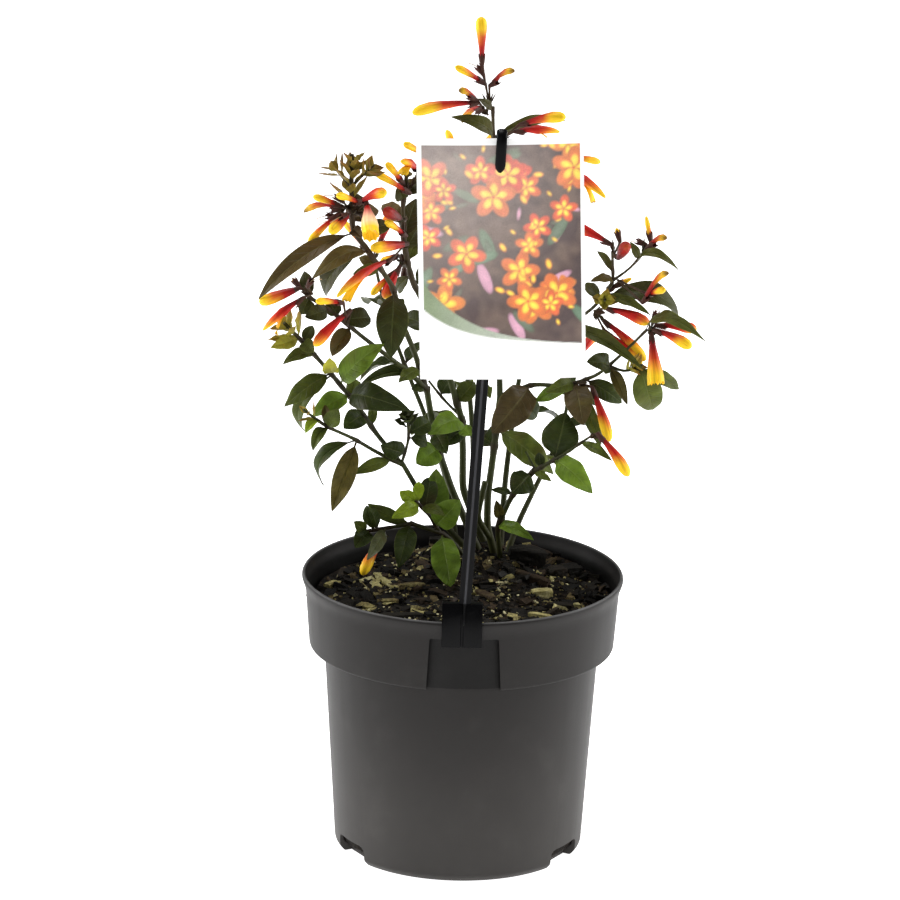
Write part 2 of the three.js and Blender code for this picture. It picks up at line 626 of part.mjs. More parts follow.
    // Right-hand cane, tallest, with the branch to the right-hand clusters and a cut stump
    name: "leafy_stem_4",
    shoots: [
      [2.4, 1.9, [17, 40, 147], [12, 36, 169], [14, 36, 194], [16, 36, 213], [18, 36, 237]],
      [
        1.9, 1,
        [18, 36, 234.5], [17, 34, 268], [16, 32, 307], [13, 30, 346], [12, 28, 373], [11, 26, 390],
        [11, 26, 397],
      ],
      [1.4, 0.8, [18, 36, 237], [35, 32, 245], [57, 24, 247], [75, 16, 260], [86, 11, 274], [94, 8, 283]],
      [
        1.3, 0.8,
        [17, 34, 268.5], [38, 32, 273], [60, 30, 281], [70, 26, 295], [77, 22, 307], [75, 19, 322],
      ],
      [0.8, 0.7, [76, 22.5, 305.5], [85, 20, 313], [90, 18, 320]],
      [0.9, 0.6, [69.5, 26, 294], [71, 20, 295], [72, 15, 297]],
      [0.9, 0.7, [74.5, 16, 260.5], [82, 12, 258], [92, 7, 264]],
      [1.9, 1.8, [14.5, 38, 157], [7, 30, 165], [9, 28, 182], [11, 27, 192]],
    ],
    leaves: [
      [[34, 32.5, 244.5], [14, 10, 224], 18, 5, 82],
      [[16.5, 36, 218], [48, 23, 198], 14, 11, 62],
      [[24.5, 34.5, 240], [38, 44, 223], 12, 3, 65],
      [[57.5, 23.5, 248.5], [62, 2, 231], 14.5, 5, 80],
      [[58, 23.5, 248.5], [72, 16, 214], 7, 5, 60],
      [[55.5, 24.5, 247], [36, 40, 233], 7, 2, 60],
      [[49.5, 26.5, 246], [56, 40, 248], 8, 2, 60],
      [[75.5, 15.5, 260], [63, 2, 267], 11, 3, 60],
      [[75.5, 15.5, 260], [85, 4, 242], 6, 5, 60],
      [[63, 21.5, 251], [83, 22, 238], 9.5, 4, 62],
      [[90.5, 8, 263], [99, 16, 236], 15, 5, 78],
      [[88.5, 8.5, 261.5], [113, 20, 247], 7.5, 5, 60],
      [[48.5, 31.5, 276], [94, 2, 262], 7, 11, 44],
      [[93, 8.5, 282], [124, -14, 285], 8.5, 14, 40],
      [[71, 25.5, 296], [113, 34, 284], 11, 15, 46],
      [[70, 26, 294.5], [96, 9, 292], 5.5, 5, 40],
      [[69.5, 26, 294], [62, 40, 299], 6, 2, 70],
      [[88, 18.5, 317.5], [110, 10, 316], 5.2, 11, 46],
      [[89, 18.5, 318.5], [84, 10, 330], 4, 1, 60],
      [[75.5, 21.5, 310], [67, 28, 320], 3.6, 4, 50],
      [[76, 22.5, 305], [64, 12, 308], 5, 3, 50],
      [[11.5, 27.5, 380], [-10, 14, 395], 7.5, 7.5, 52],
      [[11.5, 27.5, 380], [51, 50, 385], 5.5, 7, 45],
      [[11, 26, 395.5], [4, 15, 404], 4, 1, 60],
      [[15.5, 36, 209], [8, 54, 209], 13, 2, 60],
      [[38, 32, 273], [31, 12, 290], 12, 3, 55],
      [[16.5, 33, 290.5], [1, 14, 300], 13, 4, 50],
      [[15, 31, 323.5], [1, 46, 329], 12, 4, 50],
      [[12.5, 29.5, 356.5], [24, 44, 361], 9, 3, 50],
      [[57, 24, 248], [42, 8, 248], 7.5, 3, 62],
    ],
    tufts: [
      [[70.5, 23, 294.5], [72, 15, 297], 3, 10, 7],
      [[82, 12, 259], [90, 8, 264], 4, 11, 5.5],
    ],
  },
  {
    // Low right shoot
    name: "leafy_stem_5",
    shoots: [
      [1.8, 1.4, [20, 34, 146], [18, 28, 167], [24, 22, 184], [29, 18, 193], [37, 12, 204]],
      [1.4, 0.7, [36, 12.5, 202.5], [47, 7, 211], [57, 2, 219], [66, -4, 228]],
      [0.7, 0.6, [37.5, 12, 203.5], [34, 16, 209], [32, 18, 212]],
    ],
    leaves: [
      [[47, 7, 211], [68, -8, 197], 13, 9, 62],
      [[60.5, -0.5, 223], [77, -14, 218], 5, 4, 55],
      [[35, 13.5, 201], [25, 2, 194], 14, 3, 70],
      [[36.5, 12, 203], [46, 4, 200], 3.6, 1, 60],
      [[26, 20.5, 187.5], [14, 30, 187], 4, 1, 50],
      [[19.5, 26.5, 171.5], [17, 20, 184], 5, 1, 70],
      [[18, 28, 167.5], [38, 10, 165], 6.5, 5, 50],
      [[40, 10.5, 205.5], [39, 15, 213], 5, 1, 60],
      [[47, 7, 211], [53, 14, 236], 19, 4, 80],
    ],
    tufts: [],
  },
  {
    // Low left shoot, lying over the soil towards the rim
    name: "leafy_stem_6",
    shoots: [
      [1.6, 1.2, [4, 27, 147], [-2, 25, 157], [-12, 20, 166], [-28, 12, 173]],
      [1.2, 0.8, [-26.5, 13, 172.5], [-36, 8, 172], [-44, 5, 172], [-53, 2, 171]],
      [1.1, 0.8, [-12.5, 20, 165.5], [-17, 15, 176], [-24, 12, 180], [-26, 11, 186]],
    ],
    leaves: [
      [[-11.5, 20, 165], [-6, -4, 142], 15, 3, 82],
      [[-28, 12, 172.5], [-51, 8, 185], 7, -4, 60],
      [[-28.5, 12, 172.5], [-34, -10, 155], 11, 4, 75],
      [[-45, 4.5, 171.5], [-52, 14, 182], 8.5, 2, 80],
      [[-47.5, 4, 171.5], [-51, -4, 187], 4, 1, 80],
      [[-51.5, 2.5, 171], [-58, -8, 180], 6, 1, 70],
      [[-50, 3, 171], [-57, -8, 165], 9, 3, 60],
      [[-41, 6, 172], [-51, -28, 164], 6.5, 2, 82],
      [[-24.5, 11.5, 184.5], [-24, 6, 198], 5.5, -2, 75],
      [[-24.5, 11.5, 184.5], [-34, 4, 193], 6.5, -1, 75],
      [[-23.5, 12, 183.5], [-38, -2, 180], 8, 3, 70],
      [[-22.5, 12.5, 182], [-10, 0, 182], 6.5, 2, 45],
      [[-20.5, 13.5, 179.5], [-18, 26, 195], 10, 3, 75],
      [[-15.5, 17, 172], [-15, 26, 200], 14, 3, 82],
      [[-15, 17.5, 170], [-2, 2, 190], 14, 3, 75],
    ],
    tufts: [],
  },
];

// Each spray's stalks part at a fork just clear of its stem. Its blooms are foot of the calyx, tip
// and kind.
const SPRAYS = [
  {
    name: "flower_spray_01",
    fork: [9.5, 26.8, 396.3],
    blooms: [
      [[5, 25, 419], [4, 26, 445], "full"],
      [[7, 26, 409], [-9, 18, 420], "bud"],
      [[9, 26, 408], [22, 18, 418], "faded"],
      [[6, 25, 414], [1, 28, 420], "spent"],
    ],
  },
  {
    name: "flower_spray_02",
    fork: [8.5, 25.4, 392.8],
    blooms: [
      [[4, 18, 401], [-31, 8, 397], "full"],
      [[3, 18, 402], [-7, 14, 408], "faded"],
      [[6, 20, 398], [-5, 34, 386], "faded"],
    ],
  },
  {
    name: "flower_spray_03",
    fork: [13.5, 27.2, 377.3],
    blooms: [
      [[25, 24, 388], [49, 14, 395], "full"],
      [[22, 26, 384], [46, 30, 382], "open"],
    ],
  },
  {
    name: "flower_spray_04",
    fork: [-32, 43.1, 347],
    blooms: [
      [[-35, 40, 351], [-44, 28, 365], "bud"],
      [[-31, 38, 346], [-50, 30, 359], "bud"],
      [[-27, 42, 358], [-36, 20, 367], "open"],
      [[-23, 42, 365], [-35, 27, 376], "bud"],
    ],
  },
  {
    name: "flower_spray_05",
    fork: [-64.3, 21.8, 343.1],
    blooms: [
      [[-57, 10, 348], [-69, -9, 357], "bud"],
      [[-66, 20, 343], [-82, 18, 349], "bud"],
      [[-67, 20, 342], [-87, 30, 337], "faded"],
      [[-66, 26, 344], [-74, 30, 349], "spent"],
      [[-64, 6, 343], [-77, -11, 341], "spent"],
      [[-69, 26, 336], [-85, 24, 338], "spent"],
    ],
  },
  {
    name: "flower_spray_06",
    fork: [-62.7, 22.1, 336.6],
    blooms: [
      [[-68, 19, 340], [-84, 14, 325], "bud"],
      [[-63, 14, 341], [-72, -4, 336], "plump"],
      [[-67, 19, 337], [-79, 20, 335], "spent"],
    ],
  },
  {
    name: "flower_spray_07",
    fork: [-60.1, 22, 339.4],
    blooms: [
      [[-54, 14, 348], [-51, -10, 336], "bell"],
      [[-58, 18, 346], [-44, -2, 357], "full"],
      [[-56, 10, 341], [-49, 0, 339], "spent"],
    ],
  },
  {
    name: "flower_spray_08",
    fork: [-34, 43.9, 330.6],
    blooms: [
      [[-36, 36, 333], [-44, 18, 342], "plump"],
      [[-33, 42, 322], [-44, 26, 334], "bud"],
    ],
  },
  {
    name: "flower_spray_09",
    fork: [-34.4, 45.6, 315.6],
    blooms: [
      [[-32, 38, 319], [-51, 20, 321], "plump"],
      [[-40, 30, 313], [-68, -8, 301], "open"],
    ],
  },
  {
    name: "flower_spray_10",
    fork: [-34.5, 49.5, 304.9],
    blooms: [
      [[-36, 45, 305], [-44, 36, 289], "full"],
      [[-39, 44, 302], [-51, 36, 291], "bud"],
      [[-37, 54, 308], [-46, 40, 308], "bud"],
      [[-34, 56, 301], [-34, 63, 289], "spent"],
    ],
  },
  {
    name: "flower_spray_11",
    fork: [-81.4, 9.3, 298.7],
    blooms: [
      [[-88, 8, 302], [-109, 3, 295], "plump"],
      [[-86, 4, 298], [-106, -3, 281], "open"],
      [[-88, 12, 301], [-92, 16, 305], "young"],
      [[-84, 4, 304], [-81, 0, 310], "spent"],
    ],
  },
  {
    name: "flower_spray_12",
    fork: [-62.9, 12.4, 280.6],
    blooms: [
      [[-65, 6, 295], [-79, -10, 300], "bud"],
      [[-61, 12, 290], [-80, 2, 272], "full"],
    ],
  },
  {
    name: "flower_spray_13",
    fork: [-45, 4, 169.8],
    blooms: [
      [[-42, 2, 169], [-53, -14, 152], "full"],
    ],
  },
  {
    name: "flower_spray_14",
    fork: [15.1, 29.5, 349.2],
    blooms: [
      [[47, 22, 367], [70, 8, 353], "open"],
      [[50, 26, 371], [68, 34, 366], "bud"],
    ],
  },
  {
    name: "flower_spray_15",
    fork: [76.1, 17.3, 321.1],
    blooms: [
      [[75, 17, 326], [53, 20, 335], "full"],
      [[79, 23, 326], [77, 26, 333], "young"],
      [[78, 12, 320], [82, -3, 332], "plump"],
    ],
  },
  {
    name: "flower_spray_16",
    fork: [90.3, 17.8, 320.9],
    blooms: [
      [[95, 17, 328], [92, 14, 343], "young"],
      [[93, 14, 326], [103, 6, 333], "faded"],
      [[93, 18, 326], [87, 20, 328], "spent"],
    ],
  },
  {
    name: "flower_spray_17",
    fork: [72.2, 26.7, 298],
    blooms: [
      [[76, 28, 300], [86, 29, 305], "young"],
      [[77, 28, 295], [89, 30, 299], "bud"],
    ],
  },
  {
    name: "flower_spray_18",
    fork: [78.1, 20.9, 306.2],
    blooms: [
      [[91, 6, 298], [104, -8, 318], "faded"],
      [[94, 8, 302], [102, -7, 309], "bud"],
    ],
  },
  {
    name: "flower_spray_19",
    fork: [66.5, 27, 287.3],
    blooms: [
      [[72, 20, 291], [95, 8, 286], "full"],
      [[71, 26, 283], [94, 17, 263], "full"],
      [[72, 22, 278], [92, 16, 260], "full"],
    ],
  },
  {
    name: "flower_spray_20",
    fork: [95.3, 7.3, 280.9],
    blooms: [
      [[98, 6, 286], [120, 5, 284], "full"],
      [[97, 2, 285], [117, -8, 278], "full"],
      [[96, 4, 283], [99, -6, 258], "bell"],
      [[97, 11, 286], [105, 20, 289], "bud"],
      [[97, 12, 286], [100, 16, 294], "spent"],
    ],
  },
  {
    name: "flower_spray_21",
    fork: [58.5, 21.1, 249.5],
    blooms: [
      [[66, 16, 249], [76, 8, 221], "full"],
    ],
  },
  {
    name: "flower_spray_22",
    fork: [64.6, -4.9, 227.3],
    blooms: [
      [[69, -8, 231], [86, -14, 209], "full"],
    ],
  },
];

// Canes of the hidden side: thickness at the foot and the end, then the route. From the third
// point on, each carries a pair of leaves, every pair a quarter turn from the last.
const BACK_CANES = [
  [
    "leafy_stem_7", 1.9, 0.9,
    [-3, 50, 145], [-8, 60, 176], [-19, 72, 208], [-33, 80, 240], [-44, 84, 270], [-50, 84, 296],
  ],
  [
    "leafy_stem_8", 2, 0.9,
    [20, 56, 145], [22, 68, 180], [26, 84, 214], [31, 97, 248], [34, 104, 282], [35, 104, 312],
  ],
  [
    "leafy_stem_9", 1.9, 0.9,
    [23, 43, 146], [33, 56, 170], [44, 65, 190], [52, 71, 209], [55, 74, 225], [56, 76, 240],
  ],
  [
    "leafy_stem_10", 2, 0.8,
    [4, 60, 144], [5, 70, 186], [2, 76, 226], [-4, 80, 266], [-6, 78, 306], [-2, 72, 344],
  ],
];

function backLeaves(route, seed) {
  const draw = draws(seed);
  return route.slice(2, -1).flatMap((place, node) => {
    const along = vector(route[node + 3]).sub(vector(route[node + 1])).normalize();
    const across = along.clone().cross(new THREE.Vector3(1, 0.2, 0)).normalize();
    return [0, 180].map((turn) => {
      const outward = across.clone().applyAxisAngle(along, radians(turn + 90 * node + 30 * draw()));
      const length = 26 + 9 * draw();
      const tip = vector(place).addScaledVector(outward, length * 0.85).addScaledVector(along, length * 0.3);
      tip.z -= length * 0.3;
      return [place, tip.toArray(), 11 + 4 * draw(), 4 + 3 * draw(), 0];
    });
  });
}

// The flowers at a back cane's end, which lean away to the back on either side of its heading.
function backSpray(name, route) {
  const end = vector(route.at(-1));
  const heading = end.clone().sub(vector(route.at(-2))).normalize();
  const across = new THREE.Vector3(1, 0, 0).cross(heading).negate().normalize();
  const blooms = ["full", "bud"].map((kind, place) => {
    const outward = across.clone().applyAxisAngle(heading, radians(60 * place - 30));
    const base = end.clone().addScaledVector(heading, 5).addScaledVector(outward, 6);
    const tip = base.clone().addScaledVector(outward, 20).addScaledVector(heading, 14);
    return [base.toArray(), tip.toArray(), kind];
  });
  const fork = end.addScaledVector(heading, STALK_RADIUS + GAP / 2).toArray();
  return { name, fork, blooms };
}


// ---- Building the plant --------------------------------------------------------------------

function leafyStem({ name, shoots, leaves, tufts }) {
  const pieces = [
    ...shoots.map(([footRadius, endRadius, ...route]) => stem(route, footRadius, endRadius)),
    ...leaves.map((row) => leaf(...row)),
    ...tufts.map((row) => tuft(...row)),
  ];
  return part(name, fuse(pieces), LOOKS.foliage);
}

function flowerSpray({ name, fork, blooms }) {
  return part(name, fuse(blooms.map((row) => bloom(fork, ...row))), LOOKS.flower);
}

const backCanes = BACK_CANES.map(([name, footRadius, endRadius, ...route], number) => ({
  name,
  shoots: [[footRadius, endRadius, ...route]],
  leaves: backLeaves(route, 11 + number),
  tufts: [],
}));
const backSprays = BACK_CANES.map(([, , , ...route], number) =>
  backSpray(`flower_spray_${SPRAYS.length + number + 1}`, route),
);
const canes = [...CANES, ...backCanes];

const plant = new THREE.Group();
plant.add(makePot(), makePottingMix(canes), makeStake(), makeCard());
plant.add(...canes.map(leafyStem), ...[...SPRAYS, ...backSprays].map(flowerSpray));

export default plant;
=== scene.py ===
"""A flowering shrimp plant in its plastic growing pot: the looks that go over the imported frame.

Everything is in metres with +Z up and the front towards -Y. Places in the tables are millimetres.
"""

import math

import bmesh
import bpy
from bpy.props import FloatProperty, FloatVectorProperty, IntProperty, PointerProperty
from mathutils import Matrix, Vector, noise


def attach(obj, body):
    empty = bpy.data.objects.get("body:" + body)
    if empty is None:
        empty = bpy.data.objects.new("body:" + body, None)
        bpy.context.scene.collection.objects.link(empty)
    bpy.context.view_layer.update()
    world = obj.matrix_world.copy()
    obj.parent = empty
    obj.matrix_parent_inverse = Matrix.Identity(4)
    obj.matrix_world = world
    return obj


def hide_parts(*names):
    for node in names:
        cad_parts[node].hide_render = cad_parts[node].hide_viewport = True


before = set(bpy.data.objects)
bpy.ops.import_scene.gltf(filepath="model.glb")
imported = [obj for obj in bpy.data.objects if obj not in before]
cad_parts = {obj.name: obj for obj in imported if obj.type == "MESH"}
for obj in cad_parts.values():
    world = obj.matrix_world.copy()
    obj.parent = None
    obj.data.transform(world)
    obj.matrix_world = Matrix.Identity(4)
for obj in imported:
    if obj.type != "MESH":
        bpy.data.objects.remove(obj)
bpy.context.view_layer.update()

bl_info = {
    "name": "Potted shrimp plant",
    "version": (1, 0, 0),
    "blender": (4, 5, 0),
    "location": "3D View > Sidebar > Plant",
    "description": "Builds a flowering shrimp plant, its pot, potting mix and picture card",
    "category": "Object",
}

MM = 0.001

# ---- Sizes of the pot and the label, in millimetres ----

RIM_RADIUS = 85
POT_HEIGHT = 150
BASE_RADIUS = 65.4
BODY_SLOPE = 0.0645
WALL, POT_FLOOR = 1.8, 2.6
COLLAR_BOTTOM, COLLAR_TOP = 112, 142.5
COLLAR_FOOT, COLLAR_HEAD = 80.6, 82.4
COLLAR_SLOPE = (COLLAR_HEAD - COLLAR_FOOT) / (COLLAR_TOP - COLLAR_BOTTOM)
NECK = COLLAR_BOTTOM - 1.5
BEAD_FOOT = 147
POCKET_X, POCKET_WIDTH, POCKET_TOP, POCKET_DEPTH, POCKET_BACKING = 1.3, 36, 140.2, 2.8, 1.5
NOTCH_ANGLES = (-60, 60, 180)
NOTCH_WIDTH, NOTCH_HEIGHT, NOTCH_REACH, NOTCH_CORNER = 26, 10.5, 8, 4
SOIL_LEVEL, SOIL_RADIUS, SOIL_SIDES, BARE_EDGE = 136, 78.2, 72, 4
MOUND_X, MOUND_Y, MOUND_HEIGHT, MOUND_SPREAD = 10, 38, 13, 30
STAKE_FOOT, STAKE_HEAD, STAKE_Y, STAKE_WIDTH = (1, 156), (15.2, 409), -83.2, 6.2
CLIP_WIDTH, CLIP_TOP, CLIP_SKIRT, CLIP_PLATE, CLIP_OUTER = 21, 160.5, 137.5, 1.8, 2.6
STRAP_WIDTH, STRAP_DEPTH = 5.4, 2.48
CARD_X, CARD_Y, CARD_Z = 16.3, -88.2, 346
CARD_WIDTH, CARD_HEIGHT, CARD_THICKNESS = 84.5, 126.5, 0.7
CARD_TURN, CARD_BOW = 1.9, 2.2
BLADE_THICKNESS = 0.5
STEM_STEP = 20
CALYX_LENGTH = 7
STALK_RADIUS = 0.75
GAP = 0.3
QUARTERS = (0.0, 0.25, 0.5, 0.75, 1.0)

# Where each stream of random numbers, and the noise that tears the chips, starts.
BACK_SEED, CARD_SEED, CANE_SEED, SPRAY_SEED, CHIP_SEED = 11, 23, 101, 301, 5

# ---- Settings that a user would change ----


def colour(name, description, red, green, blue):
    """A colour property from the eight-bit values that a picker shows."""
    steps = [value / 255 for value in (red, green, blue)]
    linear = [s / 12.92 if s <= 0.04045 else ((s + 0.055) / 1.055) ** 2.4 for s in steps]
    return FloatVectorProperty(
        name=name, description=description, default=linear, subtype="COLOR", min=0, max=1
    )


def number(name, description, default, **more):
    return FloatProperty(name=name, description=description, default=default, **more)


class PotSettings(bpy.types.PropertyGroup):
    """The growing pot and what fills it."""

    plastic: colour("Plastic", "Colour of the pot's plastic", 34, 32, 31)
    sides: IntProperty(name="Sides", description="Flat sides round the pot", default=144, min=48)
    soil: colour("Potting mix", "Colour of the damp peat", 26, 20, 14)
    chips: IntProperty(name="Bark chips", description="How many chips lie on top", default=520, min=0)
    crumbs: IntProperty(name="Crumbs", description="How many crumbs lie on top", default=2300, min=0)
    fibres: IntProperty(name="Fibres", description="How many fibres lie on top", default=260, min=0)
    chip: number("Chip length", "Length of the longest small chip", 0.011, unit="LENGTH")


class LabelSettings(bpy.types.PropertyGroup):
    """The picture card and its stake."""

    stake: colour("Stake", "Colour of the stake's plastic", 7, 7, 8)
    card: colour("Card", "Colour of the card itself", 250, 250, 249)
    band: colour("Band", "Colour of the curved band under the picture", 128, 146, 106)
    ground: colour("Ground", "Colour behind the printed blossoms", 98, 76, 64)
    shadow: colour("Shadow", "The print's darkest parts", 58, 34, 34)
    haze: colour("Haze", "The pale glare over the print's left and upper side", 250, 236, 228)
    coral: colour("Coral", "Outer half of a printed petal", 232, 70, 34)
    sun: colour("Sun", "Inner half of a printed petal", 255, 232, 66)
    pink: colour("Pink", "Small printed petals", 224, 160, 190)
    sea: colour("Sea green", "Printed leaves", 62, 132, 92)


class FoliageSettings(bpy.types.PropertyGroup):
    """Leaves and stems."""

    thickness: number("Thickness", "Thickness of a blade", BLADE_THICKNESS * MM, unit="LENGTH")
    wave: number("Wave", "Share of a blade's half width that its edge waves by", 0.12, min=0)
    dark: colour("Dark leaf", "An old leaf", 44, 54, 19)
    olive: colour("Olive leaf", "A full-grown leaf", 72, 82, 29)
    light: colour("Light leaf", "A younger leaf", 92, 116, 34)
    lime: colour("Lime leaf", "The youngest leaf", 134, 156, 40)
    gold: colour("Golden leaf", "A young leaf on the turn", 170, 168, 58)
    copper: colour("Copper leaf", "A young leaf of the left-hand tip", 150, 140, 50)
    flush: colour("Flush", "The copper of a young leaf's tip", 122, 58, 34)
    bronze: colour("Bronze leaf", "A leaf with a copper tinge", 80, 72, 32)
    brown: colour("Brown leaf", "A leaf shaded with brown", 80, 68, 40)
    grey: colour("Grey leaf", "A leaf with a grey bloom", 78, 82, 52)
    stem_sides: IntProperty(name="Stem sides", description="Flat sides round a stem", default=10)
    stem: colour("Stem", "Colour between the joints", 54, 60, 26)
    joint: colour("Joint", "Colour at the joints and leaf stalks", 44, 32, 22)


class FlowerSettings(bpy.types.PropertyGroup):
    """Calyxes and corollas."""

    stalk: colour("Stalk", "The bloom's stalk", 62, 62, 34)
    calyx: colour("Calyx", "The dark cup at a bloom's foot", 64, 36, 27)
    foot: colour("Foot", "The corolla where it leaves the calyx", 112, 14, 22)
    red: colour("Red", "The corolla's lower half", 182, 28, 20)
    orange: colour("Orange", "Where red turns to yellow", 228, 108, 42)
    yellow: colour("Yellow", "The corolla's outer half", 246, 200, 36)
    blush: colour("Blush", "The pink of a pale bloom's foot", 214, 138, 122)
    cream: colour("Cream", "The middle of a pale bloom", 240, 206, 156)
    withered: colour("Withered", "A faded corolla", 120, 48, 40)
    style: colour("Style", "The thread that a dropped corolla leaves", 176, 150, 112)


class StageSettings(bpy.types.PropertyGroup):
    """Camera, floor and light."""

    floor: colour("Floor", "Colour of the floor", 244, 244, 244)
    glow: number("Floor glow", "Strength of the light that the floor itself gives", 1.1, min=0)
    sides: number("Side lights", "Strength of the soft light on either side", 28.0, min=0)
    overhead: number("Overhead light", "Strength of the soft light from above", 22.0, min=0)
    front: number("Front light", "Strength of the soft light from the front", 4.0, min=0)
    sky: number("Surroundings", "Strength of the light from all round", 0.12, min=0)


# ---- Where everything grows ----

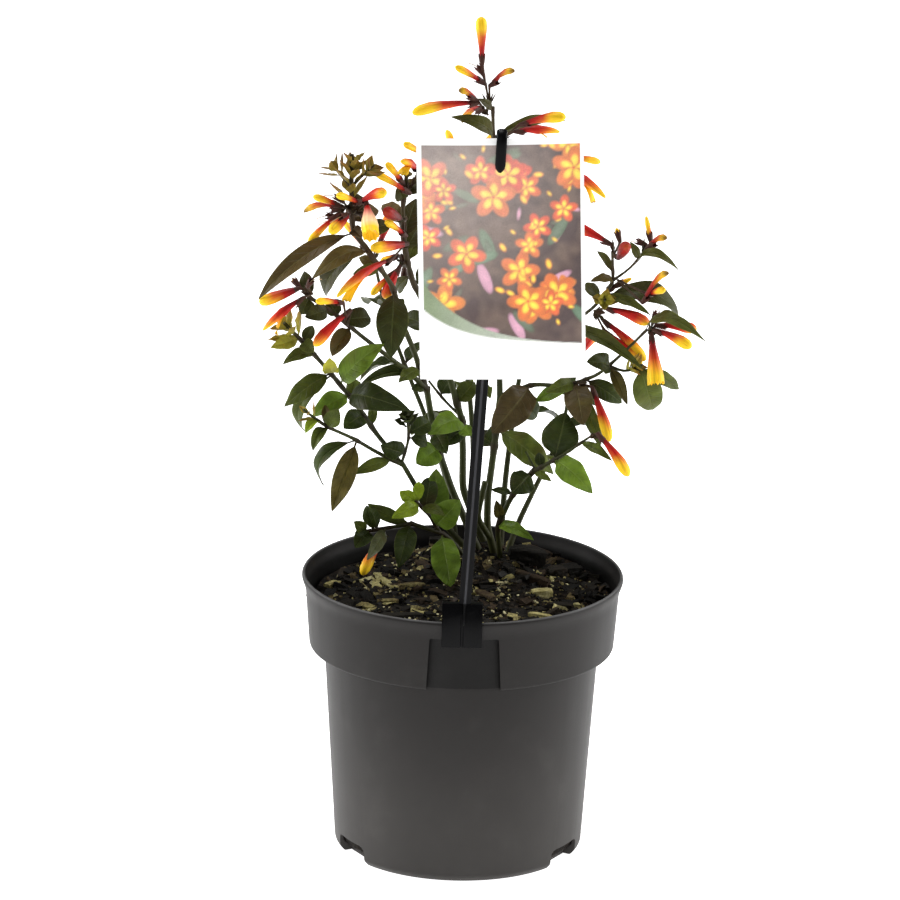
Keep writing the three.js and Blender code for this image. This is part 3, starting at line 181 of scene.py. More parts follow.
# Leafy stems 1 to 6. A shoot is radius at the foot, radius at the end and a route. A leaf is base, tip,
# width, rise, tilt, fold and colour, and a growing tip is base, tip, pairs, length, width and colour.
CANES = [dict(shoots=[  # 1: left cane, with two long arching shoots
    (2, 1.5, (6, 35, 148), (-1, 33, 157), (-16, 30, 173), (-33, 22, 203)),
    (1.3, 0.8, (-32, 22.5, 201.5), (-43, 18, 208), (-57, 10, 219), (-72, 2, 228), (-79, -2, 233),
     (-85, -6, 240)),
    (1.5, 1.1, (-33, 22, 202), (-43, 23, 215), (-51, 24, 222), (-61, 22, 240), (-72, 20, 253),
     (-82, 17, 265), (-87, 14, 273), (-96, 8, 283)),
    (0.9, 0.6, (-33.5, 22, 202.5), (-31, 22, 211), (-29, 20, 222), (-31, 17, 231)),
], leaves=[
    ((-57, 10, 219), (-70, 0, 181), 11, 5, 75, 24, "bronze"),
    ((-57, 10, 219), (-74, 18, 190), 9, 12, 26, 22, "dark"),
    ((-72, 2, 228), (-80, -6, 217), 6, 5, 30, 25, "olive"),
    ((-72, 2, 228), (-67, -6, 241), 8.5, 2, 70, 10, "olive"),
    ((-72.5, 1.5, 228.5), (-74, 8, 239), 4, 1, 70, 20, "bronze"),
    ((-76.5, -1, 232), (-84, -10, 228), 5, 3, 20, 20, "lime"),
    ((-54, 23, 228.5), (-64, 12, 225), 11, 3, 60, 12, "dark"),
    ((-49.5, 23.5, 222.5), (-49, 34, 233), 4.5, 1, 80, 20, "olive"),
    ((-31.5, 21.5, 209), (-44, 10, 216), 10.5, 2, 80, 8, "dark"),
    ((-38.5, 19.5, 205.5), (-59, 8, 201), 6.5, 4, 60, 14, "olive"),
    ((-61.5, 22, 239.5), (-81, 12, 231), 11, 6, 58, 12, "light"),
    ((-61.5, 22, 239.5), (-29, 0, 239), 15, 13, 66, 12, "dark"),
    ((-66.5, 21, 246), (-43, 12, 272), 13.5, 6, 50, 14, "light"),
    ((-61, 22, 238.5), (-58, 35, 246), 7, 1, 60, 20, "olive"),
    ((-71.5, 20, 252.5), (-96, 6, 238), 11, 5, 60, 14, "olive"),
    ((-71, 20, 251.5), (-85, 26, 217), 7, 15, 32, 18, "olive"),
    ((-71.5, 20, 252.5), (-72, 10, 264), 8, 2, 60, 14, "gold"),
    ((-80, 17.5, 263), (-97, 8, 260), 7, 5, 45, 18, "olive"),
    ((-86.5, 14.5, 271), (-80, 2, 269), 7, 1, 60, 16, "olive"),
    ((-86, 14.5, 270.5), (-81, 22, 278), 6, 1, 70, 14, "dark"),
    ((-88, 13.5, 273), (-103, 2, 271), 7, 2, 70, 14, "gold"),
    ((-30, 20.5, 220), (-18, 30, 224), 9.5, 3, 65, 12, "dark"),
    ((-29.5, 21, 217.5), (-20, 28, 213), 7.5, 3, 65, 12, "dark"),
], tufts=[
    ((-77.5, -1.5, 233), (-85, -6, 240), 2, 9, 3.6, "gold"),
    ((-86.5, 14.5, 271), (-96, 8, 283), 3, 17, 9, "gold"),
    ((-30, 20, 221.5), (-31, 17, 231), 3, 10, 6.5, "dark"),
]), dict(shoots=[  # 2: left-hand cane, forked at mid height, with the high left shoot
    (2.3, 1.9, (10, 44, 145), (2, 46, 162), (-9, 48, 187), (-14, 48, 203), (-18, 46, 220), (-21, 42, 239)),
    (1.6, 1, (-20.5, 42.5, 237.5), (-28, 36, 247), (-36, 28, 256), (-52, 20, 270), (-59, 17, 277),
     (-66, 14, 284), (-75, 12, 291), (-85, 10, 298)),
    (1.8, 1.3, (-21.5, 41.5, 238.5), (-28, 40, 260), (-34, 38, 271), (-36, 36, 286), (-42, 32, 302),
     (-49, 29, 312), (-57, 26, 321), (-61, 24, 329), (-62, 23, 341), (-62, 23, 350), (-62, 22, 371)),
    (0.9, 0.6, (-62, 23, 353), (-67, 25, 358), (-73, 26, 365)),
    (0.9, 0.6, (-62, 23, 353), (-57, 22, 359), (-50, 20, 366)),
], leaves=[
    ((-14, 48, 203.5), (-26, 34, 199), 13, 3, 70, 12, "light"),
    ((-16, 47, 212.5), (-10, 30, 207), 9, 2, 70, 14, "dark"),
    ((-61.5, 16, 279), (-71, 8, 265), 9, 3, 60, 20, "bronze"),
    ((-65, 14.5, 283), (-50, 20, 283), 11, 3, 60, 14, "dark"),
    ((-67.5, 14, 285), (-74, 15, 294), 8, 2, 60, 10, "dark"),
    ((-73, 12.5, 289.5), (-85, 2, 288), 8.5, 2, 75, 10, "dark"),
    ((-83, 10.5, 296.5), (-87, 6, 288), 8, 2, 75, 12, "dark"),
    ((-83, 10.5, 296.5), (-86, 21, 308), 7, 1, 80, 12, "dark"),
    ((-39, 34, 295), (-40, 14, 262), 16.5, 6, 80, 10, "dark"),
    ((-23, 41, 244.5), (-58, 26, 244), 8, 8, 35, 22, "dark"),
    ((-24.5, 41, 249), (-36, 20, 248), 8, 3, 50, 12, "olive"),
    ((-21.5, 41.5, 239.5), (-29, 36, 240), 5, 1, 60, 14, "dark"),
    ((-60, 24.5, 328), (-111, 2, 296), 10, 12, 45, 16, "bronze"),
    ((-52, 28, 316), (-83, 12, 305), 9, 13.5, 50, 16, "bronze"),
    ((-55, 26.5, 320), (-75, 40, 288), 9.5, 10, 45, 14, "dark"),
    ((-47, 30, 308.5), (-58, 31, 313), 6, 2, 70, 10, "bronze"),
    ((-46.5, 30, 308), (-61, 26, 305), 6, 2, 70, 10, "olive"),
    ((-61, 24, 330.5), (-56, 8, 330), 6, 1, 70, 20, "brown"),
    ((-61.5, 23.5, 338.5), (-55, 34, 345), 9, 2, 65, 14, "dark"),
    ((-61.5, 23.5, 334), (-48, 38, 338), 9, 3, 60, 14, "brown"),
    ((-58.5, 25, 325.5), (-40, 40, 330), 9, 3, 60, 14, "dark"),
], tufts=[
    ((-62, 23, 349.5), (-61, 22, 370), 5, 14, 7, "copper"),
    ((-62, 23, 344.5), (-63, 23, 353), 2, 15, 7, "copper"),
    ((-66, 24.5, 357.5), (-72, 26, 364), 3, 12, 6.5, "copper"),
    ((-57.5, 22, 358.5), (-51, 20, 365), 3, 12, 6.5, "copper"),
]), dict(shoots=[  # 3: centre cane, rising behind the card to the cluster at its upper left corner
    (2.4, 2, (15, 52, 143), (6, 56, 161), (-2, 58, 184), (-1, 60, 199), (-2, 60, 218)),
    (2, 1.2, (-2, 60, 216.5), (-8, 58, 237), (-14, 56, 261), (-22, 54, 279), (-28, 52, 290),
     (-31, 50, 300), (-34, 48, 313), (-35, 46, 329), (-35, 44, 347), (-33, 46, 358)),
    (0.9, 0.7, (-2.5, 60, 218), (-14, 62, 229), (-20, 62, 237)),
], leaves=[
    ((-1.5, 60, 210.5), (-12, 44, 206), 9, 2, 60, 14, "dark"),
    ((-2, 60, 214.5), (-19, 25, 220), 13, 5, 55, 12, "light"),
    ((-1.5, 60, 211.5), (3, 42, 213), 7, 1, 70, 16, "light"),
    ((-32, 49, 306), (-27, 62, 319), 8, 2, 70, 12, "olive"),
    ((-30.5, 50.5, 298.5), (-38, 64, 285), 7, 3, 60, 12, "dark"),
    ((-28.5, 51.5, 292.5), (-15, 66, 298), 12, 3, 50, 12, "dark"),
    ((-35, 46, 326.5), (-46, 60, 335), 9, 3, 50, 14, "brown"),
    ((-34.5, 45, 343.5), (-24, 56, 348), 10, 3, 50, 12, "dark"),
    ((-35, 45, 340.5), (-38, 39, 349), 7, 1, 60, 14, "dark"),
    ((-16, 55.5, 265.5), (-36, 72, 269), 11, 4, 45, 12, "dark"),
    ((-16, 55.5, 264.5), (1, 74, 269), 13, 4, 45, 12, "olive"),
    ((-34.5, 47, 319.5), (-28, 58, 339), 10, 3, 65, 10, "dark"),
    ((-33.5, 48.5, 312), (-26, 60, 323), 9, 3, 62, 12, "dark"),
    ((-4.5, 59, 226), (5, 62, 237), 10, 2, 60, 12, "olive"),
    ((-13.5, 62, 229), (-8, 72, 235), 10, 2, 60, 12, "dark"),
], tufts=[
    ((-34.5, 45, 344), (-33, 46, 358), 2, 9, 5, "bronze"),
]), dict(shoots=[  # 4: right-hand cane, tallest, with the branch to the right-hand clusters and a cut stump
    (2.4, 1.9, (17, 40, 147), (12, 36, 169), (14, 36, 194), (16, 36, 213), (18, 36, 237)),
    (1.9, 1, (18, 36, 234.5), (17, 34, 268), (16, 32, 307), (13, 30, 346), (12, 28, 373), (11, 26, 390),
     (11, 26, 397)),
    (1.4, 0.8, (18, 36, 237), (35, 32, 245), (57, 24, 247), (75, 16, 260), (86, 11, 274), (94, 8, 283)),
    (1.3, 0.8, (17, 34, 268.5), (38, 32, 273), (60, 30, 281), (70, 26, 295), (77, 22, 307), (75, 19, 322)),
    (0.8, 0.7, (76, 22.5, 305.5), (85, 20, 313), (90, 18, 320)),
    (0.9, 0.6, (69.5, 26, 294), (71, 20, 295), (72, 15, 297)),
    (0.9, 0.7, (74.5, 16, 260.5), (82, 12, 258), (92, 7, 264)),
    (1.9, 1.8, (14.5, 38, 157), (7, 30, 165), (9, 28, 182), (11, 27, 192)),
], leaves=[
    ((34, 32.5, 244.5), (14, 10, 224), 18, 5, 82, 12, "brown"),
    ((16.5, 36, 218), (48, 23, 198), 14, 11, 62, 12, "olive"),
    ((24.5, 34.5, 240), (38, 44, 223), 12, 3, 65, 12, "dark"),
    ((57.5, 23.5, 248.5), (62, 2, 231), 14.5, 5, 80, 10, "brown"),
    ((58, 23.5, 248.5), (72, 16, 214), 7, 5, 60, 18, "olive"),
    ((55.5, 24.5, 247), (36, 40, 233), 7, 2, 60, 16, "light"),
    ((49.5, 26.5, 246), (56, 40, 248), 8, 2, 60, 14, "dark"),
    ((75.5, 15.5, 260), (63, 2, 267), 11, 3, 60, 12, "dark"),
    ((75.5, 15.5, 260), (85, 4, 242), 6, 5, 60, 18, "bronze"),
    ((63, 21.5, 251), (83, 22, 238), 9.5, 4, 62, 12, "dark"),
    ((90.5, 8, 263), (99, 16, 236), 15, 5, 78, 12, "olive"),
    ((88.5, 8.5, 261.5), (113, 20, 247), 7.5, 5, 60, 16, "olive"),
    ((48.5, 31.5, 276), (94, 2, 262), 7, 11, 44, 20, "olive"),
    ((93, 8.5, 282), (124, -14, 285), 8.5, 14, 40, 16, "olive"),
    ((71, 25.5, 296), (113, 34, 284), 11, 15, 46, 14, "dark"),
    ((70, 26, 294.5), (96, 9, 292), 5.5, 5, 40, 16, "olive"),
    ((69.5, 26, 294), (62, 40, 299), 6, 2, 70, 12, "dark"),
    ((88, 18.5, 317.5), (110, 10, 316), 5.2, 11, 46, 18, "olive"),
    ((89, 18.5, 318.5), (84, 10, 330), 4, 1, 60, 16, "olive"),
    ((75.5, 21.5, 310), (67, 28, 320), 3.6, 4, 50, 18, "olive"),
    ((76, 22.5, 305), (64, 12, 308), 5, 3, 50, 16, "bronze"),
    ((11.5, 27.5, 380), (-10, 14, 395), 7.5, 7.5, 52, 14, "olive"),
    ((11.5, 27.5, 380), (51, 50, 385), 5.5, 7, 45, 16, "olive"),
    ((11, 26, 395.5), (4, 15, 404), 4, 1, 60, 16, "dark"),
    ((15.5, 36, 209), (8, 54, 209), 13, 2, 60, 12, "dark"),
    ((38, 32, 273), (31, 12, 290), 12, 3, 55, 12, "dark"),
    ((16.5, 33, 290.5), (1, 14, 300), 13, 4, 50, 12, "dark"),
    ((15, 31, 323.5), (1, 46, 329), 12, 4, 50, 12, "dark"),
    ((12.5, 29.5, 356.5), (24, 44, 361), 9, 3, 50, 12, "olive"),
    ((57, 24, 248), (42, 8, 248), 7.5, 3, 62, 12, "olive"),
], tufts=[
    ((70.5, 23, 294.5), (72, 15, 297), 3, 10, 7, "gold"),
    ((82, 12, 259), (90, 8, 264), 4, 11, 5.5, "gold"),
]), dict(shoots=[  # 5: low right shoot
    (1.8, 1.4, (20, 34, 146), (18, 28, 167), (24, 22, 184), (29, 18, 193), (37, 12, 204)),
    (1.4, 0.7, (36, 12.5, 202.5), (47, 7, 211), (57, 2, 219), (66, -4, 228)),
    (0.7, 0.6, (37.5, 12, 203.5), (34, 16, 209), (32, 18, 212)),
], leaves=[
    ((47, 7, 211), (68, -8, 197), 13, 9, 62, 12, "light"),
    ((60.5, -0.5, 223), (77, -14, 218), 5, 4, 55, 18, "olive"),
    ((35, 13.5, 201), (25, 2, 194), 14, 3, 70, 8, "dark"),
    ((36.5, 12, 203), (46, 4, 200), 3.6, 1, 60, 16, "olive"),
    ((26, 20.5, 187.5), (14, 30, 187), 4, 1, 50, 16, "dark"),
    ((19.5, 26.5, 171.5), (17, 20, 184), 5, 1, 70, 16, "bronze"),
    ((18, 28, 167.5), (38, 10, 165), 6.5, 5, 50, 14, "light"),
    ((40, 10.5, 205.5), (39, 15, 213), 5, 1, 60, 14, "dark"),
    ((47, 7, 211), (53, 14, 236), 19, 4, 80, 10, "dark"),
], tufts=[
]), dict(shoots=[  # 6: low left shoot, lying over the soil towards the rim
    (1.6, 1.2, (4, 27, 147), (-2, 25, 157), (-12, 20, 166), (-28, 12, 173)),
    (1.2, 0.8, (-26.5, 13, 172.5), (-36, 8, 172), (-44, 5, 172), (-53, 2, 171)),
    (1.1, 0.8, (-12.5, 20, 165.5), (-17, 15, 176), (-24, 12, 180), (-26, 11, 186)),
], leaves=[
    ((-11.5, 20, 165), (-6, -4, 142), 15, 3, 82, 10, "light"),
    ((-28, 12, 172.5), (-51, 8, 185), 7, -4, 60, 14, "olive"),
    ((-28.5, 12, 172.5), (-34, -10, 155), 11, 4, 75, 16, "dark"),
    ((-45, 4.5, 171.5), (-52, 14, 182), 8.5, 2, 80, 10, "dark"),
    ((-47.5, 4, 171.5), (-51, -4, 187), 4, 1, 80, 10, "dark"),
    ((-51.5, 2.5, 171), (-58, -8, 180), 6, 1, 70, 12, "olive"),
    ((-50, 3, 171), (-57, -8, 165), 9, 3, 60, 16, "dark"),
    ((-41, 6, 172), (-51, -28, 164), 6.5, 2, 82, 8, "grey"),
    ((-24.5, 11.5, 184.5), (-24, 6, 198), 5.5, -2, 75, 10, "lime"),
    ((-24.5, 11.5, 184.5), (-34, 4, 193), 6.5, -1, 75, 10, "lime"),
    ((-23.5, 12, 183.5), (-38, -2, 180), 8, 3, 70, 10, "lime"),
    ((-22.5, 12.5, 182), (-10, 0, 182), 6.5, 2, 45, 14, "olive"),
    ((-20.5, 13.5, 179.5), (-18, 26, 195), 10, 3, 75, 14, "dark"),
    ((-15.5, 17, 172), (-15, 26, 200), 14, 3, 82, 8, "light"),
    ((-15, 17.5, 170), (-2, 2, 190), 14, 3, 75, 8, "light"),
], tufts=[
])]

# Leafy stems 7 to 10, on the hidden side: radius at the foot and at the end, and a route.
BACK_CANES = [
    (1.9, 0.9, (-3, 50, 145), (-8, 60, 176), (-19, 72, 208), (-33, 80, 240), (-44, 84, 270),
     (-50, 84, 296)),
    (2, 0.9, (20, 56, 145), (22, 68, 180), (26, 84, 214), (31, 97, 248), (34, 104, 282), (35, 104, 312)),
    (1.9, 0.9, (23, 43, 146), (33, 56, 170), (44, 65, 190), (52, 71, 209), (55, 74, 225), (56, 76, 240)),
    (2, 0.8, (4, 60, 144), (5, 70, 186), (2, 76, 226), (-4, 80, 266), (-6, 78, 306), (-2, 72, 344)),
]

# Flower sprays 1 to 22: the fork where the stalks part, and each bloom's foot, tip and kind.
SPRAYS = [dict(fork=(9.5, 26.8, 396.3), blooms=[
    ((5, 25, 419), (4, 26, 445), "full"), ((7, 26, 409), (-9, 18, 420), "bud"),
    ((9, 26, 408), (22, 18, 418), "faded"), ((6, 25, 414), (1, 28, 420), "spent"),
]), dict(fork=(8.5, 25.4, 392.8), blooms=[
    ((4, 18, 401), (-31, 8, 397), "full"), ((3, 18, 402), (-7, 14, 408), "faded"),
    ((6, 20, 398), (-5, 34, 386), "faded"),
]), dict(fork=(13.5, 27.2, 377.3), blooms=[
    ((25, 24, 388), (49, 14, 395), "full"), ((22, 26, 384), (46, 30, 382), "open"),
]), dict(fork=(-32, 43.1, 347), blooms=[
    ((-35, 40, 351), (-44, 28, 365), "bud"), ((-31, 38, 346), (-50, 30, 359), "bud"),
    ((-27, 42, 358), (-36, 20, 367), "open"), ((-23, 42, 365), (-35, 27, 376), "bud"),
]), dict(fork=(-64.3, 21.8, 343.1), blooms=[
    ((-57, 10, 348), (-69, -9, 357), "bud"), ((-66, 20, 343), (-82, 18, 349), "bud"),
    ((-67, 20, 342), (-87, 30, 337), "faded"), ((-66, 26, 344), (-74, 30, 349), "spent"),
    ((-64, 6, 343), (-77, -11, 341), "spent"), ((-69, 26, 336), (-85, 24, 338), "spent"),
]), dict(fork=(-62.7, 22.1, 336.6), blooms=[
    ((-68, 19, 340), (-84, 14, 325), "bud"), ((-63, 14, 341), (-72, -4, 336), "plump"),
    ((-67, 19, 337), (-79, 20, 335), "spent"),
]), dict(fork=(-60.1, 22, 339.4), blooms=[
    ((-54, 14, 348), (-51, -10, 336), "skirt"), ((-58, 18, 346), (-44, -2, 357), "red"),
    ((-56, 10, 341), (-49, 0, 339), "spent"),
]), dict(fork=(-34, 43.9, 330.6), blooms=[
    ((-36, 36, 333), (-44, 18, 342), "closed"), ((-33, 42, 322), (-44, 26, 334), "bud"),
]), dict(fork=(-34.4, 45.6, 315.6), blooms=[
    ((-32, 38, 319), (-51, 20, 321), "plump"), ((-40, 30, 313), (-68, -8, 301), "open"),
]), dict(fork=(-34.5, 49.5, 304.9), blooms=[
    ((-36, 45, 305), (-44, 36, 289), "red"), ((-39, 44, 302), (-51, 36, 291), "bud"),
    ((-37, 54, 308), (-46, 40, 308), "bud"), ((-34, 56, 301), (-34, 63, 289), "spent"),
]), dict(fork=(-81.4, 9.3, 298.7), blooms=[
    ((-88, 8, 302), (-109, 3, 295), "plump"), ((-86, 4, 298), (-106, -3, 281), "open"),
    ((-88, 12, 301), (-92, 16, 305), "young"), ((-84, 4, 304), (-81, 0, 310), "spent"),
]), dict(fork=(-62.9, 12.4, 280.6), blooms=[
    ((-65, 6, 295), (-79, -10, 300), "bud"), ((-61, 12, 290), (-80, 2, 272), "red"),
]), dict(fork=(-45, 4, 169.8), blooms=[
    ((-42, 2, 169), (-53, -14, 152), "full"),
]), dict(fork=(15.1, 29.5, 349.2), blooms=[
    ((47, 22, 367), (70, 8, 353), "open"), ((50, 26, 371), (68, 34, 366), "bud"),
]), dict(fork=(76.1, 17.3, 321.1), blooms=[
    ((75, 17, 326), (53, 20, 335), "red"), ((79, 23, 326), (77, 26, 333), "young"),
    ((78, 12, 320), (82, -3, 332), "closed"),
]), dict(fork=(90.3, 17.8, 320.9), blooms=[
    ((95, 17, 328), (92, 14, 343), "young"), ((93, 14, 326), (103, 6, 333), "faded"),
    ((93, 18, 326), (87, 20, 328), "spent"),
]), dict(fork=(72.2, 26.7, 298), blooms=[
    ((76, 28, 300), (86, 29, 305), "young"), ((77, 28, 295), (89, 30, 299), "bud"),
]), dict(fork=(78.1, 20.9, 306.2), blooms=[
    ((91, 6, 298), (104, -8, 318), "faded"), ((94, 8, 302), (102, -7, 309), "bud"),
]), dict(fork=(66.5, 27, 287.3), blooms=[
    ((72, 20, 291), (95, 8, 286), "red"), ((71, 26, 283), (94, 17, 263), "full"),
    ((72, 22, 278), (92, 16, 260), "full"),
]), dict(fork=(95.3, 7.3, 280.9), blooms=[
    ((98, 6, 286), (120, 5, 284), "red"), ((97, 2, 285), (117, -8, 278), "full"),
    ((96, 4, 283), (99, -6, 258), "bell"), ((97, 11, 286), (105, 20, 289), "bud"),
    ((97, 12, 286), (100, 16, 294), "spent"),
]), dict(fork=(58.5, 21.1, 249.5), blooms=[
    ((66, 16, 249), (76, 8, 221), "full"),
]), dict(fork=(64.6, -4.9, 227.3), blooms=[
    ((69, -8, 231), (86, -14, 209), "full"),
])]

# ---- Materials ----


class Value:
    """A node's socket whose arithmetic adds Math nodes."""

    def __init__(self, graph, socket):
        self.graph = graph
        self.socket = socket

    def math(self, operation, *others, clamp=False):
        settings = {"operation": operation, "use_clamp": clamp}
        return self.graph.node("ShaderNodeMath", settings, dict(enumerate((self, *others))))

    def __add__(self, other):
        return self.math("ADD", other)

    __radd__ = __add__

    def __mul__(self, other):
        return self.math("MULTIPLY", other)

    __rmul__ = __mul__

    def __sub__(self, other):
        return self.math("SUBTRACT", other)

    def __rsub__(self, other):
        return (self * -1.0) + other

    def __truediv__(self, other):
        return self.math("DIVIDE", other)

    def __abs__(self):
        return self.math("ABSOLUTE")

    def clamp(self):
        return self.math("ADD", 0.0, clamp=True)

    def step(self, low, high):
        """0 below low, 1 above high and smooth between them."""
        settings = {"interpolation_type": "SMOOTHSTEP"}
        return self.graph.node("ShaderNodeMapRange", settings, {0: self, 1: low, 2: high})


class Graph:
    """A node tree, with one method that adds any node."""

    def __init__(self, tree):
        self.tree = tree

    def node(self, kind, settings=None, inputs=None, output=0):
        made = self.tree.nodes.new(kind)
        for key, value in (settings or {}).items():
            if key == "stops":
                self.fill_ramp(made.color_ramp, value)
            else:
                setattr(made, key, value)
        for key, value in (inputs or {}).items():
            self.feed(made.inputs[key], value)
        return Value(self, made.outputs[output])

    @staticmethod
    def fill_ramp(ramp, stops):
        while len(ramp.elements) < len(stops):
            ramp.elements.new(0.5)
        for element, (position, shade) in zip(ramp.elements, stops):
            element.position = position
            element.color = (*shade, 1)

    def feed(self, socket, value):
        if isinstance(value, Value):
            self.tree.links.new(value.socket, socket)
        elif socket.type == "RGBA" and len(value) == 3:
            socket.default_value = (*value, 1)
        else:
            socket.default_value = value

    def split(self, vector):
        parts = self.node("ShaderNodeSeparateXYZ", None, {0: vector}).socket.node
        return [Value(self, socket) for socket in parts.outputs]


class Recipe(Graph):
    """One material. Values that are the same all over are set on its shader's own sockets."""

    def __init__(self, name, **constants):
        self.material = bpy.data.materials.new(name)
        self.material.use_nodes = True
        super().__init__(self.material.node_tree)
        self.shader = self.tree.nodes["Principled BSDF"]
        for socket, value in constants.items():
            self.shader.inputs[socket.replace("_", " ")].default_value = value

    def coordinates(self, scale=(1, 1, 1)):
        place = self.node("ShaderNodeTexCoord", output="Object")
        return self.node("ShaderNodeMapping", None, {"Vector": place, "Scale": scale})

    def place(self):
        """X, Y and Z in metres."""
        return self.split(self.node("ShaderNodeTexCoord", output="Object"))

    def noise(self, size, detail=3.0, where=None):
        """Cloudy noise from 0 to 1 whose lumps are about the given size in metres."""
        inputs = {"Vector": where or self.coordinates(), "Scale": 1 / size, "Detail": detail}
        return self.node("ShaderNodeTexNoise", None, inputs)

    def attribute(self, name, output="Color"):
        return self.node("ShaderNodeAttribute", {"attribute_name": name}, output=output)

    def mix(self, factor, first, second, blend="MIX"):
        settings = {"data_type": "RGBA", "blend_type": blend}
        return self.node("ShaderNodeMix", settings, {0: factor, 6: first, 7: second}, output=2)

    def shade(self, tone, amount):
        """The colour made lighter or darker by a value that is 1 where it stays."""
        grey = self.node("ShaderNodeCombineColor", None, {0: amount, 1: amount, 2: amount})
        return self.mix(1.0, tone, grey, "MULTIPLY")

    def bump(self, height, depth, strength=1.0):
        inputs = {"Height": height, "Distance": depth, "Strength": strength}
        self.finish(Normal=self.node("ShaderNodeBump", None, inputs))

    def finish(self, **sockets):
        for socket, value in sockets.items():
            self.feed(self.shader.inputs[socket.replace("_", " ")], value)
        return self.material


class Growth(Graph):
    """A Geometry Nodes tree with named inputs that ends in one mesh."""

    def __init__(self, name, **inputs):
        super().__init__(bpy.data.node_groups.new(name, "GeometryNodeTree"))
        self.tree.is_modifier = True
        sockets = self.tree.interface
        sockets.new_socket("Geometry", in_out="INPUT", socket_type="NodeSocketGeometry")
        self.keys = {}
        for label, kind in inputs.items():
            socket = sockets.new_socket(label, in_out="INPUT", socket_type="NodeSocket" + kind)
            self.keys[label] = socket.identifier
        sockets.new_socket("Geometry", in_out="OUTPUT", socket_type="NodeSocketGeometry")
        source = self.tree.nodes.new("NodeGroupInput")
        self.given = {socket.name: Value(self, socket) for socket in source.outputs if socket.name}

    def position(self):
        return self.node("GeometryNodeInputPosition")

    def finish(self, geometry, *covers):
        """Ends in real faces and their materials: each cover is a material and its selection."""
        geometry = self.node("GeometryNodeRealizeInstances", None, {0: geometry})
        for material, selection in covers:
            inputs = {0: geometry, 1: selection, 2: material}
            geometry = self.node("GeometryNodeSetMaterial", None, inputs)
        end = self.tree.nodes.new("NodeGroupOutput")
        self.feed(end.inputs[0], geometry)

    def named(self, name):
        """A number that each point carries, or 0 where it has none."""
        settings = {"data_type": "FLOAT"}
        return self.node("GeometryNodeInputNamedAttribute", settings, {"Name": name})

    def joined(self, parts):
        join = self.tree.nodes.new("GeometryNodeJoinGeometry")
        for part in parts:
            self.tree.links.new(part.socket, join.inputs[0])
        return Value(self, join.outputs[0])

    def grow(self, mesh, name, **values):
        """Runs the tree on a mesh and gives the plain mesh that comes out."""
        holder = new_object(name, mesh)
        modifier = holder.modifiers.new(name, "NODES")
        modifier.node_group = self.tree
        for label, value in values.items():
            modifier[self.keys[label]] = value
        grown = baked(holder, keep_layers=True)
        if not grown.polygons:
            raise RuntimeError(f"{name} grew no faces")
        return grown


def pot_plastic(tone):
    """Moulded plastic: a fine pebbled grain with faint vertical flow marks, painted shade inside the rim and
    in the label pocket, painted light towards the foot and a painted highlight along the rim's top.
    """
    look = Recipe("pot_plastic", IOR=1.48, Specular_IOR_Level=0.16)
    dust_and_floor_light, worn = (0.16, 0.15, 0.14), (0.3, 0.3, 0.3)
    x, y, z = look.place()
    # Painted shade: plastic more than about a millimetre inside the collar's line, above the collar's foot,
    # is darkened. This is the inside of the rim and the label pocket.
    outside = (z - COLLAR_BOTTOM * MM) * COLLAR_SLOPE + COLLAR_FOOT * MM
    depth = outside - (x * x + y * y).math("SQRT")
    hollow = depth.step(0.7 * MM, 1.3 * MM) * z.step((COLLAR_BOTTOM - 0.4) * MM, COLLAR_BOTTOM * MM)
    flow = look.noise(0.012, 3.0, look.coordinates((1, 1, 0.12)))
    grain = look.noise(0.0007, 2.0)
    dust = look.noise(0.03, 5.0)
    base = look.shade(tuple(tone), flow * 0.2 + grain * 0.1 + 0.85)
    base = look.mix(dust.step(0.55, 0.85) * 0.06, base, dust_and_floor_light)
    # Painted light from the floor: the plastic turns paler towards the foot, more so where the dust noise is
    # strong. The small blotches above are real dust.
    low = 1.0 - z.step(0.0, COLLAR_BOTTOM * MM)
    base = look.mix(low * (0.14 + dust * 0.12), base, dust_and_floor_light)
    # the painted shade inside the rim and in the label pocket
    base = look.shade(base, 1.0 - hollow * 0.68)
    # Painted highlight: a pale line along the top of the rim, where the light from above falls.
    edge = z.step((POT_HEIGHT - 0.9) * MM, (POT_HEIGHT - 0.1) * MM)
    base = look.mix(edge * (flow * 0.3 + 0.15), base, worn)
    look.bump(grain * 0.5 + flow * 0.5, 0.00012, 0.5)
    return look.finish(Base_Color=base, Roughness=flow * 0.16 + grain * 0.08 + 0.40)


def peat(tone):
    """Damp and lumpy, with a few paler crumbs."""
    look = Recipe("peat", Specular_IOR_Level=0.12)
    lumps = look.noise(0.004, 6.0)
    fine = look.noise(0.0009, 4.0)
    base = look.shade(tuple(tone), lumps.step(0.35, 0.75) * 1.1 + fine * 0.5 + 0.05)
    crumb = look.noise(0.0016, 2.0)
    base = look.mix(crumb.step(0.66, 0.74) * 0.6, base, (0.16, 0.11, 0.055))
    look.bump(lumps * 0.8 + fine * 0.4, 0.0014)
    return look.finish(Base_Color=base, Roughness=fine * 0.25 + 0.65)


def bark():
    """Chips, from nearly black over rusty brown to pale straw, each with its own tone."""
    look = Recipe("bark", Specular_IOR_Level=0.15)
    tone = look.attribute("tone", "Fac")
    fibre = look.noise(0.0012, 4.0)
    blotch = look.noise(0.005, 3.0)
    stops = [
        (0.0, (0.004, 0.0035, 0.0025)),
        (0.40, (0.010, 0.008, 0.005)),
        (0.60, (0.035, 0.022, 0.012)),
        (0.72, (0.11, 0.085, 0.035)),
        (0.82, (0.34, 0.30, 0.12)),
        (1.0, (0.72, 0.67, 0.40)),
    ]
    worn = (tone + (blotch - 0.5) * 0.22 + (fibre - 0.5) * 0.18).clamp()
    base = look.node("ShaderNodeValToRGB", {"stops": stops}, {0: worn})
    base = look.shade(base, fibre * 0.7 + 0.65)
    look.bump(fibre, 0.0005)
    return look.finish(Base_Color=base, Roughness=blotch * 0.3 + 0.5)


